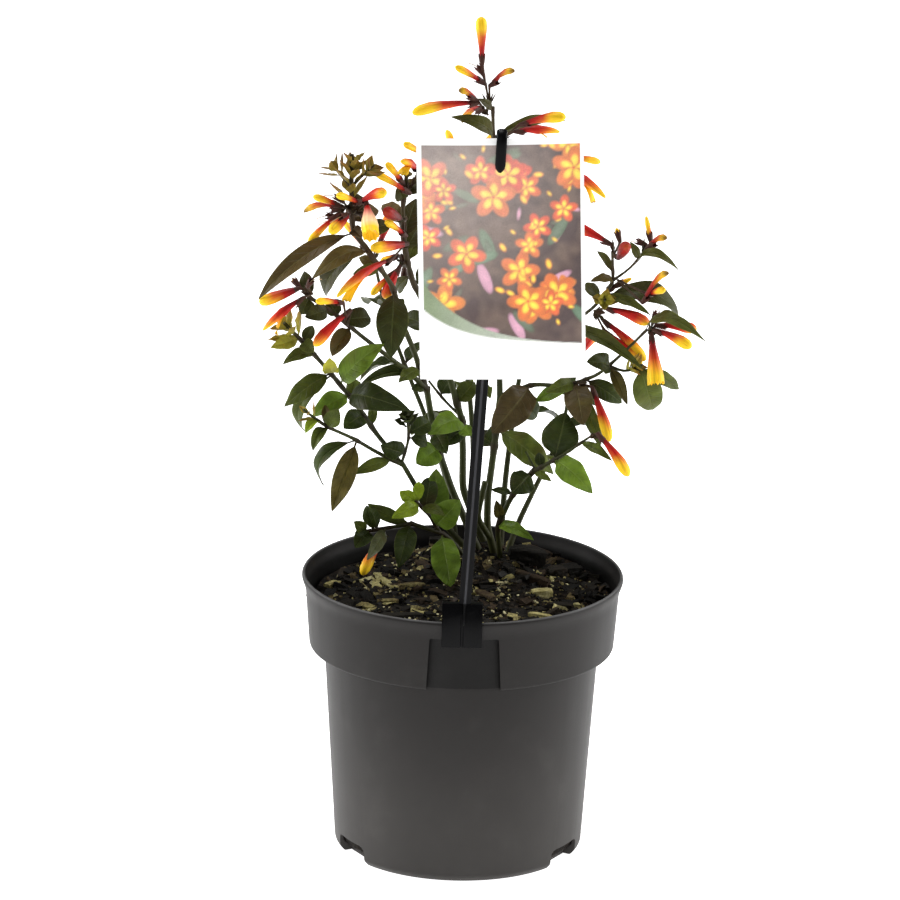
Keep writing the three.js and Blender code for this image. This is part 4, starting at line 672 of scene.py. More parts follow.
def stake_plastic(tone):
    """Black plastic with long faint draw marks and a painted highlight along the bar's ridge."""
    look = Recipe("stake_plastic", IOR=1.5, Specular_IOR_Level=0.08)
    drawn = look.noise(0.002, 2.0, look.coordinates((1, 1, 0.05)))
    _, y, z = look.place()
    # Painted highlight: a pale line along the bar's ridge between the clip and the hook.
    crest = y.step((STAKE_Y - 2.0) * MM, (STAKE_Y - 2.25) * MM)
    crest = crest * z.step(CLIP_TOP * MM, (CLIP_TOP + 1) * MM)
    crest = crest * z.step((STAKE_HEAD[1] - 2) * MM, (STAKE_HEAD[1] - 4) * MM)
    crest = crest * y.step((STAKE_Y - 3.2) * MM, (STAKE_Y - 3.0) * MM)
    base = look.shade(tuple(tone), drawn * 0.4 + 0.8)
    # the painted highlight on the ridge
    base = look.mix(crest * (drawn * 0.5 + 0.25), base, (0.09, 0.09, 0.10))
    look.bump(drawn, 0.0001, 0.4)
    return look.finish(Base_Color=base, Roughness=drawn * 0.15 + 0.26)


def printed_card():
    """Coated card: the print's own colours, with a dot grain, a light gloss and a faint painted glow in
    those colours.
    """
    # Painted light: a faint emission in the print's own colours brightens the card.
    look = Recipe(
        "printed_card", IOR=1.45, Coat_Weight=0.25, Coat_Roughness=0.2, Emission_Strength=0.12,
    )
    ink = look.attribute("tint")
    cloud = look.noise(0.006, 4.0)
    dots = look.noise(0.0006, 1.0)
    amount = look.split(look.attribute("place", "Vector"))[0]
    base = look.shade(ink, amount * ((cloud - 0.5) * 0.5 + (dots - 0.5) * 0.35) + 1.0)
    return look.finish(Base_Color=base, Emission_Color=base, Roughness=cloud * 0.08 + 0.34)


def sunned(look):
    """0 low in the plant and 1 near its top, where sun bronzes the leaves and stems."""
    return look.place()[2].step(0.23, 0.34)


def leaf_skin():
    """Soft leaf: a thin pale midrib, faint side veins, copper and yellow clouds and a light edge."""
    look = Recipe("leaf_skin", IOR=1.42, Specular_IOR_Level=0.16)
    tint = look.attribute("tint")
    along, across, own = look.split(look.attribute("place", "Vector"))
    away = abs(across)
    lines = (along - away * 0.16) * 9.0 + own
    crest = abs(lines.math("FRACT") - 0.5) * 2.0
    side_vein = crest.step(0.80, 0.99) * (1.0 - away.step(0.75, 0.98))
    midrib = 1.0 - away.step(0.01, 0.08)
    mottle = look.noise(0.006, 4.0)
    fine = look.noise(0.0008, 2.0)
    cloud = look.noise(0.016, 3.0)
    base = look.shade(tint, mottle * 1.5 + fine * 0.3 + 0.1)
    base = look.mix(cloud.step(0.55, 0.78) * 0.5, base, look.mix(0.5, tint, (0.085, 0.036, 0.018)))
    base = look.mix((1.0 - cloud).step(0.56, 0.80) * 0.4, base, look.mix(0.45, tint, (0.20, 0.19, 0.03)))
    base = look.mix(sunned(look) * (cloud * 0.5 + 0.12), base, look.mix(0.55, tint, (0.12, 0.046, 0.028)))
    pale = look.mix(0.4, look.shade(tint, 1.8), (0.20, 0.21, 0.08))
    base = look.mix(midrib * 0.42, base, pale)
    base = look.mix(side_vein * 0.06, base, pale)
    base = look.mix(away.step(0.88, 1.0) * 0.4, base, pale)
    height = mottle * 0.55 + fine * 0.12 - side_vein * 0.25 - midrib * 0.3
    look.bump(height, 0.0008, 0.9)
    return look.finish(Base_Color=base, Roughness=mottle * 0.25 + fine * 0.1 + 0.24)


def stem_skin():
    """Stem with fine lengthwise streaks."""
    look = Recipe("stem_skin", Specular_IOR_Level=0.18)
    tint = look.attribute("tint")
    streak = look.noise(0.0016, 3.0, look.coordinates((1, 1, 0.18)))
    base = look.mix(sunned(look) * 0.6, tint, (0.062, 0.034, 0.018))
    base = look.shade(base, streak + 0.45)
    look.bump(streak, 0.0003)
    return look.finish(Base_Color=base, Roughness=streak * 0.2 + 0.42)


def petal_skin():
    """Downy petal: the bloom's own shading with fine lengthwise streaks."""
    look = Recipe("petal_skin", Specular_IOR_Level=0.18, Sheen_Weight=0.03, Sheen_Roughness=0.4)
    tint = look.attribute("tint")
    along, across, own = look.split(look.attribute("place", "Vector"))
    stretched = {0: along * 2.0, 1: across * 26.0, 2: own * 9.0}
    streak = look.noise(1.0, 2.0, look.node("ShaderNodeCombineXYZ", None, stretched))
    down = look.noise(0.0004, 2.0)
    base = look.shade(tint, streak + down * 0.14 + 0.43)
    look.bump(streak * 0.6 + down * 0.4, 0.00025, 0.7)
    return look.finish(Base_Color=base, Roughness=down * 0.15 + 0.36)


def calyx_skin():
    """Downy dark cup and stalk, faintly speckled."""
    look = Recipe("calyx_skin", Specular_IOR_Level=0.2, Sheen_Weight=0.08, Sheen_Roughness=0.35)
    tint = look.attribute("tint")
    speckle = look.noise(0.0009, 3.0)
    down = look.noise(0.0003, 2.0)
    base = look.shade(tint, speckle * 0.9 + 0.55)
    look.bump(speckle * 0.5 + down * 0.5, 0.0002, 0.8)
    return look.finish(Base_Color=base, Roughness=down * 0.2 + 0.45)


def floor_paper(tone, glow):
    """Seamless white paper that gives some light of its own."""
    look = Recipe(
        "floor_paper", Specular_IOR_Level=0.1, Roughness=0.9,
        Emission_Color=(1, 1, 1, 1), Emission_Strength=glow,
    )
    fine = look.noise(0.05, 3.0)
    return look.finish(Base_Color=look.shade(tuple(tone), fine * 0.02 + 0.99))


# ---- Skins ----


class Skin:
    """One piece while it grows: its points, each with a colour and a place, and its faces."""

    def __init__(self):
        self.points, self.tints, self.places, self.girths = [], [], [], []
        self.edges, self.faces, self.slots = [], [], []

    def ring(self, points, tint=(0, 0, 0), places=None, girth=0.0):
        """Adds a row of points and returns their numbers. Only a stem's line has a girth."""
        first = len(self.points)
        self.points.extend(points)
        self.tints.extend(tint if isinstance(tint, list) else [tint] * len(points))
        self.places.extend(places or [(0, 0, 0)] * len(points))
        self.girths.extend([girth] * len(points))
        return list(range(first, len(self.points)))

    def join(self, one, other, slot=0, closed=True):
        """Faces between two rows of as many points."""
        count = len(one)
        for i in range(count if closed else count - 1):
            j = (i + 1) % count
            self.faces.append((one[i], one[j], other[j], other[i]))
            self.slots.append(slot)

    def lid(self, row, slot=0):
        self.faces.append(tuple(row))
        self.slots.append(slot)

    def mesh(self, name, *materials):
        mesh = bpy.data.meshes.new(name)
        mesh.from_pydata([point * MM for point in self.points], self.edges, self.faces)
        for material in materials:
            mesh.materials.append(material)
        mesh.polygons.foreach_set("material_index", self.slots)
        layers = (
            ("tint", "FLOAT_COLOR", "color", [(*row, 1.0) for row in self.tints]),
            ("place", "FLOAT_VECTOR", "vector", self.places),
        )
        for label, kind, field, rows in layers:
            layer = mesh.attributes.new(label, kind, "POINT")
            layer.data.foreach_set(field, [part for row in rows for part in row])
        if self.edges:
            layer = mesh.attributes.new("girth", "FLOAT", "POINT")
            layer.data.foreach_set("value", self.girths)
        return mesh


def new_object(name, data):
    made = bpy.data.objects.new(name, data)
    bpy.context.collection.objects.link(made)
    return made


def baked(holder, keep_layers=False):
    """The mesh that an object's modifiers make of it. The object itself is removed."""
    graph = bpy.context.evaluated_depsgraph_get()
    made = bpy.data.meshes.new_from_object(
        holder.evaluated_get(graph), preserve_all_data_layers=keep_layers, depsgraph=graph
    )
    holder.modifiers.clear()
    bpy.data.objects.remove(holder)
    return made


def turn_outwards(mesh):
    shell = bmesh.new()
    shell.from_mesh(mesh)
    bmesh.ops.recalc_face_normals(shell, faces=shell.faces)
    shell.to_mesh(mesh)
    shell.free()


def mesh_piece(name, mesh, sharp=50):
    """Turns every face outwards, smooths the shading and shows the mesh."""
    turn_outwards(mesh)
    mesh.shade_smooth()
    mesh.set_sharp_from_angle(angle=math.radians(sharp))
    return new_object(name, mesh)


def settle(piece, slot, *nodes):
    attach(piece, "root")
    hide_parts(*nodes)


def blend(one, other, share):
    return tuple(a + (b - a) * share for a, b in zip(one, other))


def draws(seed):
    """Repeatable numbers from 0 to 1, from a linear congruential generator."""
    state, factor, step, period = seed, 1664525, 1013904223, 2**32
    while True:
        state = (state * factor + step) % period
        yield state / period


def smooth_curve(route, steps):
    """Points of the centripetal curve through a route."""
    route = [Vector(place) for place in route]
    first = route[0] * 2 - route[1]
    last = route[-1] * 2 - route[-2]
    padded = [first, *route, last]
    points = []
    for p0, p1, p2, p3 in zip(padded, padded[1:], padded[2:], padded[3:]):
        d0, d1, d2 = (max((b - a).length ** 0.5, 1e-4) for a, b in ((p0, p1), (p1, p2), (p2, p3)))
        t1 = ((p1 - p0) / d0 - (p2 - p0) / (d0 + d1) + (p2 - p1) / d1) * d1
        t2 = ((p2 - p1) / d1 - (p3 - p1) / (d1 + d2) + (p3 - p2) / d2) * d1
        for step in range(steps):
            w = step / steps
            quad = (p2 - p1) * 3 - t1 * 2 - t2
            cube = (p1 - p2) * 2 + t1 + t2
            points.append(p1 + t1 * w + quad * w**2 + cube * w**3)
    points.append(route[-1])
    return points


def spaced(points, count):
    """The given number of equal steps along a line of points."""
    reach = [0.0]
    for a, b in zip(points, points[1:]):
        reach.append(reach[-1] + (b - a).length)
    found, j = [], 0
    for step in range(count + 1):
        goal = reach[-1] * step / count
        while j < len(points) - 2 and reach[j + 1] < goal:
            j += 1
        share = (goal - reach[j]) / max(reach[j + 1] - reach[j], 1e-9)
        found.append(points[j].lerp(points[j + 1], min(max(share, 0), 1)))
    return found


def stem_line(route):
    """A stem's middle: straight between its joints, with the turns slightly eased."""
    curve = smooth_curve(route, 40)
    length = sum((b - a).length for a, b in zip(curve, curve[1:]))
    knots = spaced(curve, max(2, round(length / STEM_STEP)))
    line = spaced(knots, max(6, round(length / 3)))
    for _ in range(2):
        line[1:-1] = [(a + b * 2 + c) / 4 for a, b, c in zip(line, line[1:], line[2:])]
    return line


def stem(skin, route, foot_radius, end_radius, seats, look):
    """The line of a stem, with the girth and colour that swell and darken at its joints."""
    swollen, darkened, dark_foot = 2.2, 3.2, 70
    line = stem_line(route)
    row = []
    for i, middle in enumerate(line):
        share = i / (len(line) - 1)
        near = min(((middle - seat).length for seat in seats), default=99.0)
        swell = math.exp(-((near / swollen) ** 2))
        radius = (foot_radius + (end_radius - foot_radius) * share) * (0.88 + 0.34 * swell)
        low = max(0, 1 - (middle.z - SOIL_LEVEL) / dark_foot)
        dark = 0.85 * math.exp(-((near / darkened) ** 2)) + 0.45 * low
        tint = blend(look.stem, look.joint, min(dark, 0.9))
        row += skin.ring([middle], tint, [(share, 0, 0)], radius * MM)
    skin.edges.extend(zip(row, row[1:]))


def half_width(width, along, belly, blunt):
    """Half a blade's width: belly moves its widest place and blunt rounds its tip."""
    blade = min(max((along - 0.12) / 0.88, 0), 1) ** belly
    power = blunt * (0.75 if blade < 0.5 else 1.1)
    narrow = 0.55 * (1 - along) + 0.1 * along
    return width / 2 * math.sin(math.pi * blade) ** power + narrow


def leaf(skin, base, tip, width, rise, facing, fold, tone, look, draw, flush=0.0, blunt=0.0):
    """A folded, waved blade of two faces on a short stalk. Its tip may be flushed with copper."""
    start = Vector(base)
    chord = (Vector(tip) - start) * 0.975
    length = chord.length
    forward = chord / length
    normal = (facing - forward * facing.dot(forward)).normalized()
    side = chord.cross(normal).normalized()
    thick = look.thickness / MM * (0.7 if length < 14 else 1)
    stations = 9 if length < 12 else 15 if length < 30 else 22
    lanes = 4 if width < 6 else 6
    phase, waves, own = next(draw) * math.tau, 1.4 + 2 * next(draw), next(draw)
    twist = math.radians(34 * (next(draw) - 0.5))
    droop = 0.12 * (next(draw) - 0.3)
    belly, own_blunt = 0.76 + 0.2 * next(draw), 0.86 - 0.5 * min(width / length, 0.6) + 0.2 * next(draw)
    blunt = blunt or own_blunt
    ripple, curl = look.wave * (0.6 + next(draw)), 0.3 * next(draw)
    slope_fold = math.tan(math.radians(fold * 1.4))
    tone = tuple(part * (0.78 + 0.45 * own) for part in tone)
    below = blend(tuple(part * 1.1 for part in tone), look.grey, 0.12)
    rows = {1: [], -1: []}
    for station in range(stations + 1):
        along = station / stations
        lift = 4 * rise * along * (1 - along) - droop * length * along**3
        centre = start + chord * along + normal * lift
        slope = (4 * rise * (1 - 2 * along) - 3 * droop * length * along**2) / length
        face = (normal - forward * slope).normalized()
        half = half_width(width, along, belly, blunt)
        if station == stations:
            half = 0.05
        turned = Matrix.Rotation(twist * along, 3, forward)
        out, face = turned @ side, turned @ face
        for level in (1, -1):
            points, places, tints = [], [], []
            for lane in range(-lanes, lanes + 1):
                across = lane / lanes
                edge = abs(across)
                dish = half * (slope_fold * edge - curl * edge**2)
                beat = waves * along * math.tau + phase + (2.1 if lane < 0 else 0)
                wave = ripple * half * edge**2 * math.sin(beat)
                thin = thick / 2 * (1 - 0.75 * edge**4) * level
                points.append(centre + out * (half * across) + face * (dish + wave + thin - thick / 2))
                places.append((along, across, own))
                stalk = 1 - min(max((along - 0.05) / 0.14, 0), 1)
                shade = blend(tone if level == 1 else below, look.flush, flush * along**1.1)
                tints.append(blend(shade, look.joint, 0.6 * stalk))
            rows[level].append(skin.ring(points, tints, places))
    for level in (1, -1):
        for one, other in zip(rows[level], rows[level][1:]):
            skin.join(one, other, closed=False)
    upper, lower = rows[1], rows[-1]
    for end in (0, -1):
        skin.join([row[end] for row in upper], [row[end] for row in lower], closed=False)
        skin.join(upper[end], lower[end], closed=False)


def tuft(skin, base, tip, pairs, length, width, name, look, draw):
    """Pairs of young leaves along a shoot's end, each pair a quarter turn from the last."""
    tone, young = tone_of(look, name), name in ("gold", "copper")
    slim = 0.72 if young else 0.9
    foot = Vector(base)
    axis = Vector(tip) - foot
    along = axis.normalized()
    across = along.cross(Vector((0.3, 1, 0.2))).normalized()
    for pair in range(pairs):
        seat = foot + axis * (0.25 + 0.7 * pair / pairs)
        reach = length * (1 - 0.5 * pair / pairs)
        outward = Matrix.Rotation(math.radians(90 * pair + 35), 3, along) @ across
        for way in (1, -1):
            goal = seat + outward * reach * 0.7 * way + along * reach * 0.75
            facing = along - outward * 0.8 * way
            flush = (0.4 + 0.6 * next(draw)) * young
            leaf(skin, seat, goal, width * slim, -0.06 * reach, facing, 22, tone, look, draw, flush, 1.15)


def tone_of(look, name):
    return tuple(getattr(look, name))


def round_rows(skin, rows, slot=0):
    """Joins rings one after another and closes both ends."""
    skin.lid(rows[0], slot)
    for one, other in zip(rows, rows[1:]):
        skin.join(one, other, slot)
    skin.lid(rows[-1], slot)


def frame_at(ahead):
    side = ahead.cross(Vector((0.05, 0.1, 1))).normalized()
    return side, side.cross(ahead)


def bend(foot, middle, end, t):
    point = foot * (1 - t) ** 2 + middle * 2 * t * (1 - t) + end * t**2
    ahead = ((middle - foot) * (1 - t) + (end - middle) * t).normalized()
    return point, ahead


# How far each form of corolla arches, and its radius at shares of its length.
FULL = (0.1, ((0.12, 1.1), (0.3, 1.65), (0.5, 2.4), (0.68, 3.05), (0.84, 2.9), (0.93, 2.1), (0.985, 0.8)))
PLUMP = (0.0, ((0.12, 1.7), (0.35, 2.6), (0.6, 3.15), (0.82, 3.0), (0.95, 2.0), (0.99, 0.8)))
BELL = (0.05, ((0.12, 1.3), (0.3, 2.0), (0.5, 2.9), (0.7, 3.9), (0.86, 4.45)))
SKIRT = (0.05, ((0.1, 1.1), (0.25, 1.9), (0.42, 3.1), (0.58, 4.2), (0.72, 4.65), (0.86, 4.3)))
COROLLA_SHAPES = {
    "bud": (0.05, ((0.12, 1.0), (0.35, 1.35), (0.6, 1.85), (0.8, 2.0), (0.92, 1.45), (0.985, 0.6))),
    "full": FULL,
    "red": FULL,
    "plump": PLUMP,
    "closed": PLUMP,
    "bell": BELL,
    "skirt": SKIRT,
    "open": (0.14, (
        (0.12, 1.1), (0.3, 1.7), (0.48, 2.5), (0.6, 2.9), (0.72, 2.6), (0.85, 1.9), (0.95, 1.2), (0.99, 0.5),
    )),
    "faded": (0.3, ((0.12, 0.95), (0.35, 1.15), (0.6, 1.7), (0.78, 1.85), (0.92, 1.15), (0.985, 0.45))),
    "young": (0.0, ((0.12, 0.9), (0.4, 1.2), (0.65, 1.35), (0.88, 0.9), (0.97, 0.4))),
    "spent": (0.0, ()),
}
HOOD_START, HOOD_LIFT, HOOD_SQUASH = 0.55, 2.2, 0.72
TEETH, TOOTH_LENGTH, STYLE_RADIUS = 5, CALYX_LENGTH * 0.4, 0.22
BLOOM_SIDES, SCALLOPED_SIDES, STYLE_SIDES, LIP_SIDES = 15, 24, 5, 16
# A corolla's colour from its foot to its tip, each with the share where it is reached.
PLAIN_RAMP = (
    (0.14, "foot"), (0.34, "red"), (0.46, "red"), (0.58, "orange"), (0.68, "yellow"), (1.2, "yellow"),
)
RAMPS = {
    "red": ((0.14, "foot"), (0.36, "red"), (0.66, "red"), (0.82, "orange"), (0.95, "yellow")),
    "closed": ((0.45, "foot"), (0.95, "red"), (1.3, "orange")),
    "open": ((0.14, "foot"), (0.32, "red"), (0.5, "red"), (0.68, "orange"), (0.86, "yellow")),
    "skirt": (
        (0.12, "red"), (0.3, "blush"), (0.5, "cream"), (0.62, "cream"), (0.72, "yellow"), (1.2, "yellow"),
    ),
    "bell": ((0.14, "foot"), (0.38, "red"), (0.55, "orange"), (0.74, "yellow"), (1.2, "yellow")),
    "lip": ((0.4, "orange"), (0.6, "yellow"), (1.2, "yellow")),
}


def corolla_tone(kind, along, under, look, mood):
    """Red at the foot and yellow at the tip, and yellow further back on the underside."""
    t = along + 0.10 * under + mood + {"young": 0.12, "bud": 0.06}.get(kind, 0)
    stops = RAMPS.get(kind, PLAIN_RAMP)
    shade = tone_of(look, stops[0][1])
    for (low, one), (high, other) in zip(stops, stops[1:]):
        if t > low:
            shade = blend(getattr(look, one), getattr(look, other), min((t - low) / (high - low), 1))
    if kind == "faded":
        shade = blend(shade, look.withered, 0.3)
        shade = blend(shade, look.calyx, min(max((along - 0.84) / 0.12, 0), 0.9))
    if kind == "closed":
        shade = blend(shade, look.calyx, 0.4)
    return shade


def bloom(skin, fork, base, tip, kind, look, draw):
    """A bloom on its stalk: a toothed calyx cup and the corolla that comes out of it."""
    root, foot, end = Vector(fork), Vector(base), Vector(tip)
    forward = (end - foot).normalized()
    own, mood = next(draw), 0.09 * (next(draw) - 0.5)
    calyx = tuple(look.calyx)
    fresh = blend(calyx, look.stalk, 0.35)

    def ring(centre, ahead, radius, tint, along, reach=None, squash=1.0, sides=None):
        sides = sides or (SCALLOPED_SIDES if kind in ("bell", "skirt") else BLOOM_SIDES)
        side, up = frame_at(ahead)
        points, places, tints = [], [], []
        for corner in range(sides):
            angle = corner / sides * math.tau
            across = side * math.cos(angle) + up * math.sin(angle) * squash
            ahead_by = reach(angle) if reach else 0
            points.append(centre + across * radius + ahead * ahead_by)
            places.append((along, corner / sides, own))
            tints.append(tint(math.sin(angle)) if callable(tint) else tint)
        return skin.ring(points, tints, places)

    # stalk, swollen foot and cup with five narrow teeth that lie against the corolla
    stalk = (foot - root).normalized()
    rows = [ring(root, stalk, STALK_RADIUS * 0.8, fresh, 0)]
    for share in (0.35, 0.7):
        rows.append(ring(root.lerp(foot, share), stalk, STALK_RADIUS * 0.75, fresh, 0))
    rows.append(ring(foot, forward, STALK_RADIUS + 0.3, calyx, 0))

    def teeth(angle):
        return TOOTH_LENGTH * (0.5 + 0.5 * math.cos(angle * TEETH)) ** 0.8

    brim = blend(calyx, look.foot, 0.18)
    cup = (
        (0.3, 1.45, calyx, 0.3, None),
        (0.55, 1.7, calyx, 0.6, None),
        (0.6, 1.9, brim, 1, teeth),
        (0.58, 1.5, calyx, 1, lambda angle: teeth(angle) * 0.85),
        (0.4, 1.0, calyx, 0.5, None),
    )
    for share, radius, tint, along, reach in cup:
        rows.append(ring(foot + forward * CALYX_LENGTH * share, forward, radius, tint, along, reach))
    round_rows(skin, rows)
    lift, shape = COROLLA_SHAPES[kind]
    if not shape:
        # the style that stays behind when the corolla has dropped
        side, up = frame_at(forward)
        lean = side * (next(draw) - 0.5) * 6 - up * (1 + 3 * next(draw))
        mouth, reach = foot + forward * CALYX_LENGTH * 0.5, 5 + 5 * next(draw)
        far, thread = mouth + forward * reach + lean, []
        for share in QUARTERS:
            centre, ahead = bend(mouth, mouth + forward * reach * 0.6, far, share)
            thread.append(ring(centre, ahead, STYLE_RADIUS, look.style, share, sides=STYLE_SIDES))
        round_rows(skin, thread, 1)
        return
    middle = foot.lerp(end, 0.6) + Vector((0, 0, (end - foot).length * lift))
    tube = []

    def tone(along, which=kind):
        return lambda height: corolla_tone(which, along, -height, look, mood)

    for along, radius in shape:
        centre, ahead = bend(foot, middle, end, along)
        if kind == "open" and along > HOOD_START:
            # beyond the mouth only the hood goes on, flattened and carried a little higher
            up = frame_at(ahead)[1]
            centre = centre + up * (along - HOOD_START) * HOOD_LIFT
            tube.append(ring(centre, ahead, radius, tone(along), along, squash=HOOD_SQUASH))
        else:
            tube.append(ring(centre, ahead, radius, tone(along), along))
    if kind in ("bell", "skirt"):
        # a flared mouth whose scalloped edge turns back into the throat
        def scallop(angle):
            return 1 + math.cos(8 * angle)

        wide = shape[-1][1]
        mouth = (
            (0.955, wide + 0.1, scallop),
            (0.95, wide - 0.35, scallop),
            (0.86, wide - 1.1, None),
            (0.8, 0.6, None),
        )
        for along, radius, edge in mouth:
            centre, ahead = bend(foot, middle, end, along)
            tube.append(ring(centre, ahead, radius, tone(along if edge else 0.7), along, edge))
    round_rows(skin, tube, 1)
    if kind == "open":
        # the lower lip leaves the mouth as a strap, turns down and ends in three teeth
        def cleft(angle):
            return 1.5 * abs(math.cos(1.5 * math.pi * math.cos(angle)))

        strap = []
        for share in QUARTERS:
            centre, ahead = bend(foot, middle, end, 0.46 + 0.4 * share)
            up = frame_at(ahead)[1]
            centre = centre - up * (1.3 + 4.2 * share**1.5)
            ahead = (ahead - up * 0.8 * share).normalized()
            cut = cleft if share == 1 else None
            width = 1.7 + 1.5 * share
            shade = tone(0.5 + 0.5 * share, "lip")
            strap.append(ring(centre, ahead, width, shade, share, cut, 0.17, LIP_SIDES))
        round_rows(skin, strap, 1)


# ---- Geometry trees ----


def turned_shell():
    """A tree that turns an upright outline, given as a row of points, round the Z axis."""
    tree = Growth("turned_shell", Sides="Int", Rows="Int", Material="Material")
    sides, rows = tree.given["Sides"], tree.given["Rows"]
    grid = tree.node("GeometryNodeMeshGrid", None, {0: 1.0, 1: 1.0, 2: sides + 1, 3: rows})
    index = tree.node("GeometryNodeInputIndex")
    row = index.math("MODULO", rows)
    turn = index.math("DIVIDE", rows).math("FLOOR") / sides * math.tau
    outline = tree.node(
        "GeometryNodeSampleIndex", {"data_type": "FLOAT_VECTOR", "domain": "POINT"},
        {0: tree.given["Geometry"], "Value": tree.position(), "Index": row},
    )
    reach, _, height = tree.split(outline)
    x, y = reach * turn.math("SINE"), reach * turn.math("COSINE") * -1.0
    place = tree.node("ShaderNodeCombineXYZ", None, {0: x, 1: y, 2: height})
    shell = tree.node("GeometryNodeSetPosition", None, {0: grid, "Position": place})
    shell = tree.node("GeometryNodeMergeByDistance", None, {0: shell, "Distance": 1e-6})
    tree.finish(shell, (tree.given["Material"], True))
    return tree


def scattered_bits():
    """A tree that strews chips, crumbs and fibres over the faces that look up."""
    tree = Growth(
        "scattered_bits", Chips="Float", Crumbs="Float", Fibres="Float", Chip_length="Float",
        Edge="Float", Soil="Material", Bark="Material",
    )
    ground = tree.given["Geometry"]
    x, y, _ = tree.split(tree.position())
    away = (x * x + y * y).math("SQRT")
    facing = tree.split(tree.node("GeometryNodeInputNormal"))[2]
    upward, lumps = 0.6, 420.0
    room = facing.math("GREATER_THAN", upward) * away.math("LESS_THAN", tree.given["Edge"])
    # each kind's cuts, size, range of scales, lean, power and reach of its paleness, and roughness
    kinds = (
        ("Chips", 3, (1.0, 0.45, 0.22), (0.45, 1.0), 0.35, 1.8, 0.86, 0.0045),
        ("Crumbs", 2, (0.22, 0.15, 0.13), (0.4, 1.0), 0.8, 1.1, 1.0, 0.0012),
        ("Fibres", 3, (1.5, 0.075, 0.06), (0.4, 1.0), 0.3, 1.5, 0.97, 0.006),
    )
    heaps = [ground]
    for seed, (label, cuts, size, scales, lean, power, palest, rough) in enumerate(kinds):
        spots = tree.node(
            "GeometryNodeDistributePointsOnFaces", None,
            {0: ground, "Selection": room, "Density": tree.given[label], "Seed": seed + 5},
        )
        bit = tree.node("GeometryNodeMeshCube", None, {0: size, 1: cuts, 2: 2, 3: 2})

        def drawn(low, high, own):
            """A random number, or a random vector between two vectors, for each bit."""
            kind, first = ("FLOAT_VECTOR", 0) if isinstance(low, tuple) else ("FLOAT", 2)
            inputs = {first: low, first + 1: high, "Seed": 10 * seed + own}
            return tree.node("FunctionNodeRandomValue", {"data_type": kind}, inputs, first // 2)

        length = drawn(*scales, 1) * tree.given["Chip_length"]
        turn = drawn((-lean, -lean, 0), (lean, lean, math.tau), 2)
        heap = tree.node(
            "GeometryNodeInstanceOnPoints", None,
            {0: spots, "Instance": bit, "Rotation": turn, "Scale": length},
        )
        tone = drawn(0.01, 1.0, 3).math("POWER", power) * palest
        heap = tree.node(
            "GeometryNodeStoreNamedAttribute", {"data_type": "FLOAT", "domain": "INSTANCE"},
            {0: heap, "Name": "tone", "Value": tone},
        )
        heap = tree.node("GeometryNodeRealizeInstances", None, {0: heap})
        cloud = tree.node("ShaderNodeTexNoise", None, {"Scale": lumps, "Detail": 1.0}, output=1)
        halves = {0: cloud, 1: (0.5, 0.5, 0.5)}
        lump = tree.node("ShaderNodeVectorMath", {"operation": "SUBTRACT"}, halves)
        lump = tree.node("ShaderNodeVectorMath", {"operation": "SCALE"}, {0: lump, "Scale": rough})
        heaps.append(tree.node("GeometryNodeSetPosition", None, {0: heap, "Offset": lump}))
    # the ground has no tone of its own, so it stays peat
    toned = tree.named("tone").math("GREATER_THAN", 0.0)
    covers = ((tree.given["Soil"], True), (tree.given["Bark"], toned))
    tree.finish(tree.joined(reversed(heaps)), *covers)
    return tree


def swept_stems():
    """A tree that sweeps a ring along every loose line and leaves the blades as they are."""
    tree = Growth("swept_stems", Sides="Int", Leaf="Material", Stem="Material")
    girth = tree.named("girth")
    on_line = girth.math("GREATER_THAN", 0.0)
    lines = tree.node("GeometryNodeMeshToCurve", None, {0: tree.given["Geometry"], 1: on_line})
    blades = tree.node(
        "GeometryNodeDeleteGeometry", {"domain": "POINT"}, {0: tree.given["Geometry"], 1: on_line}
    )
    ring = tree.node("GeometryNodeCurvePrimitiveCircle", None, {0: tree.given["Sides"], "Radius": 1.0})
    sweep = {0: lines, 1: ring, "Scale": girth, "Fill Caps": True}
    stems = tree.node("GeometryNodeCurveToMesh", None, sweep)
    covers = ((tree.given["Leaf"], True), (tree.given["Stem"], on_line))
    tree.finish(tree.joined((stems, blades)), *covers)
    return tree


# ---- Plant ----


def up_and_front(tilt):
    """Where a leaf's upper face looks: 0 is straight up and 90 is to the front."""
    return Vector((0, -math.sin(math.radians(tilt)), math.cos(math.radians(tilt))))


def back_cane(number, foot_radius, end_radius, *route):
    """A cane of the hidden side with pairs of leaves, each a quarter turn from the last."""
    draw = draws(BACK_SEED + number)
    route = [Vector(place) for place in route]
    leaves = []
    for node, place in enumerate(route[2:-1]):
        along = (route[node + 3] - route[node + 1]).normalized()
        across = along.cross(Vector((1, 0.2, 0))).normalized()
        for turn in (0, 180):
            angle = math.radians(turn + 90 * node + 30 * next(draw))
            outward = Matrix.Rotation(angle, 3, along) @ across
            length = 26 + 9 * next(draw)
            tip = place + outward * length * 0.85 + along * length * 0.3
            tip.z -= length * 0.3
            width, rise = 11 + 4 * next(draw), 4 + 3 * next(draw)
            leaves.append((place, tip, width, rise, 0, 14, ("olive", "dark", "dark")[node % 3]))
    return dict(shoots=[(foot_radius, end_radius, *route)], leaves=leaves, tufts=[])


def back_spray(route):
    """The flowers at a back cane's end, which lean away to the back on either side of its heading."""
    end = Vector(route[-1])
    heading = (end - Vector(route[-2])).normalized()
    across = heading.cross(Vector((1, 0, 0))).normalized()
    blooms = []
    for place, kind in enumerate(("full", "bud")):
        outward = Matrix.Rotation(math.radians(60 * place - 30), 3, heading) @ across
        base = end + heading * 5 + outward * 6
        blooms.append((base, base + outward * 20 + heading * 14, kind))
    fork = end + heading * (STALK_RADIUS + GAP / 2)
    return dict(fork=fork, blooms=blooms)


def all_canes():
    canes = CANES + [back_cane(number, *row) for number, row in enumerate(BACK_CANES)]
    return [dict(cane, name=f"leafy_stem_{n}") for n, cane in enumerate(canes, 1)]


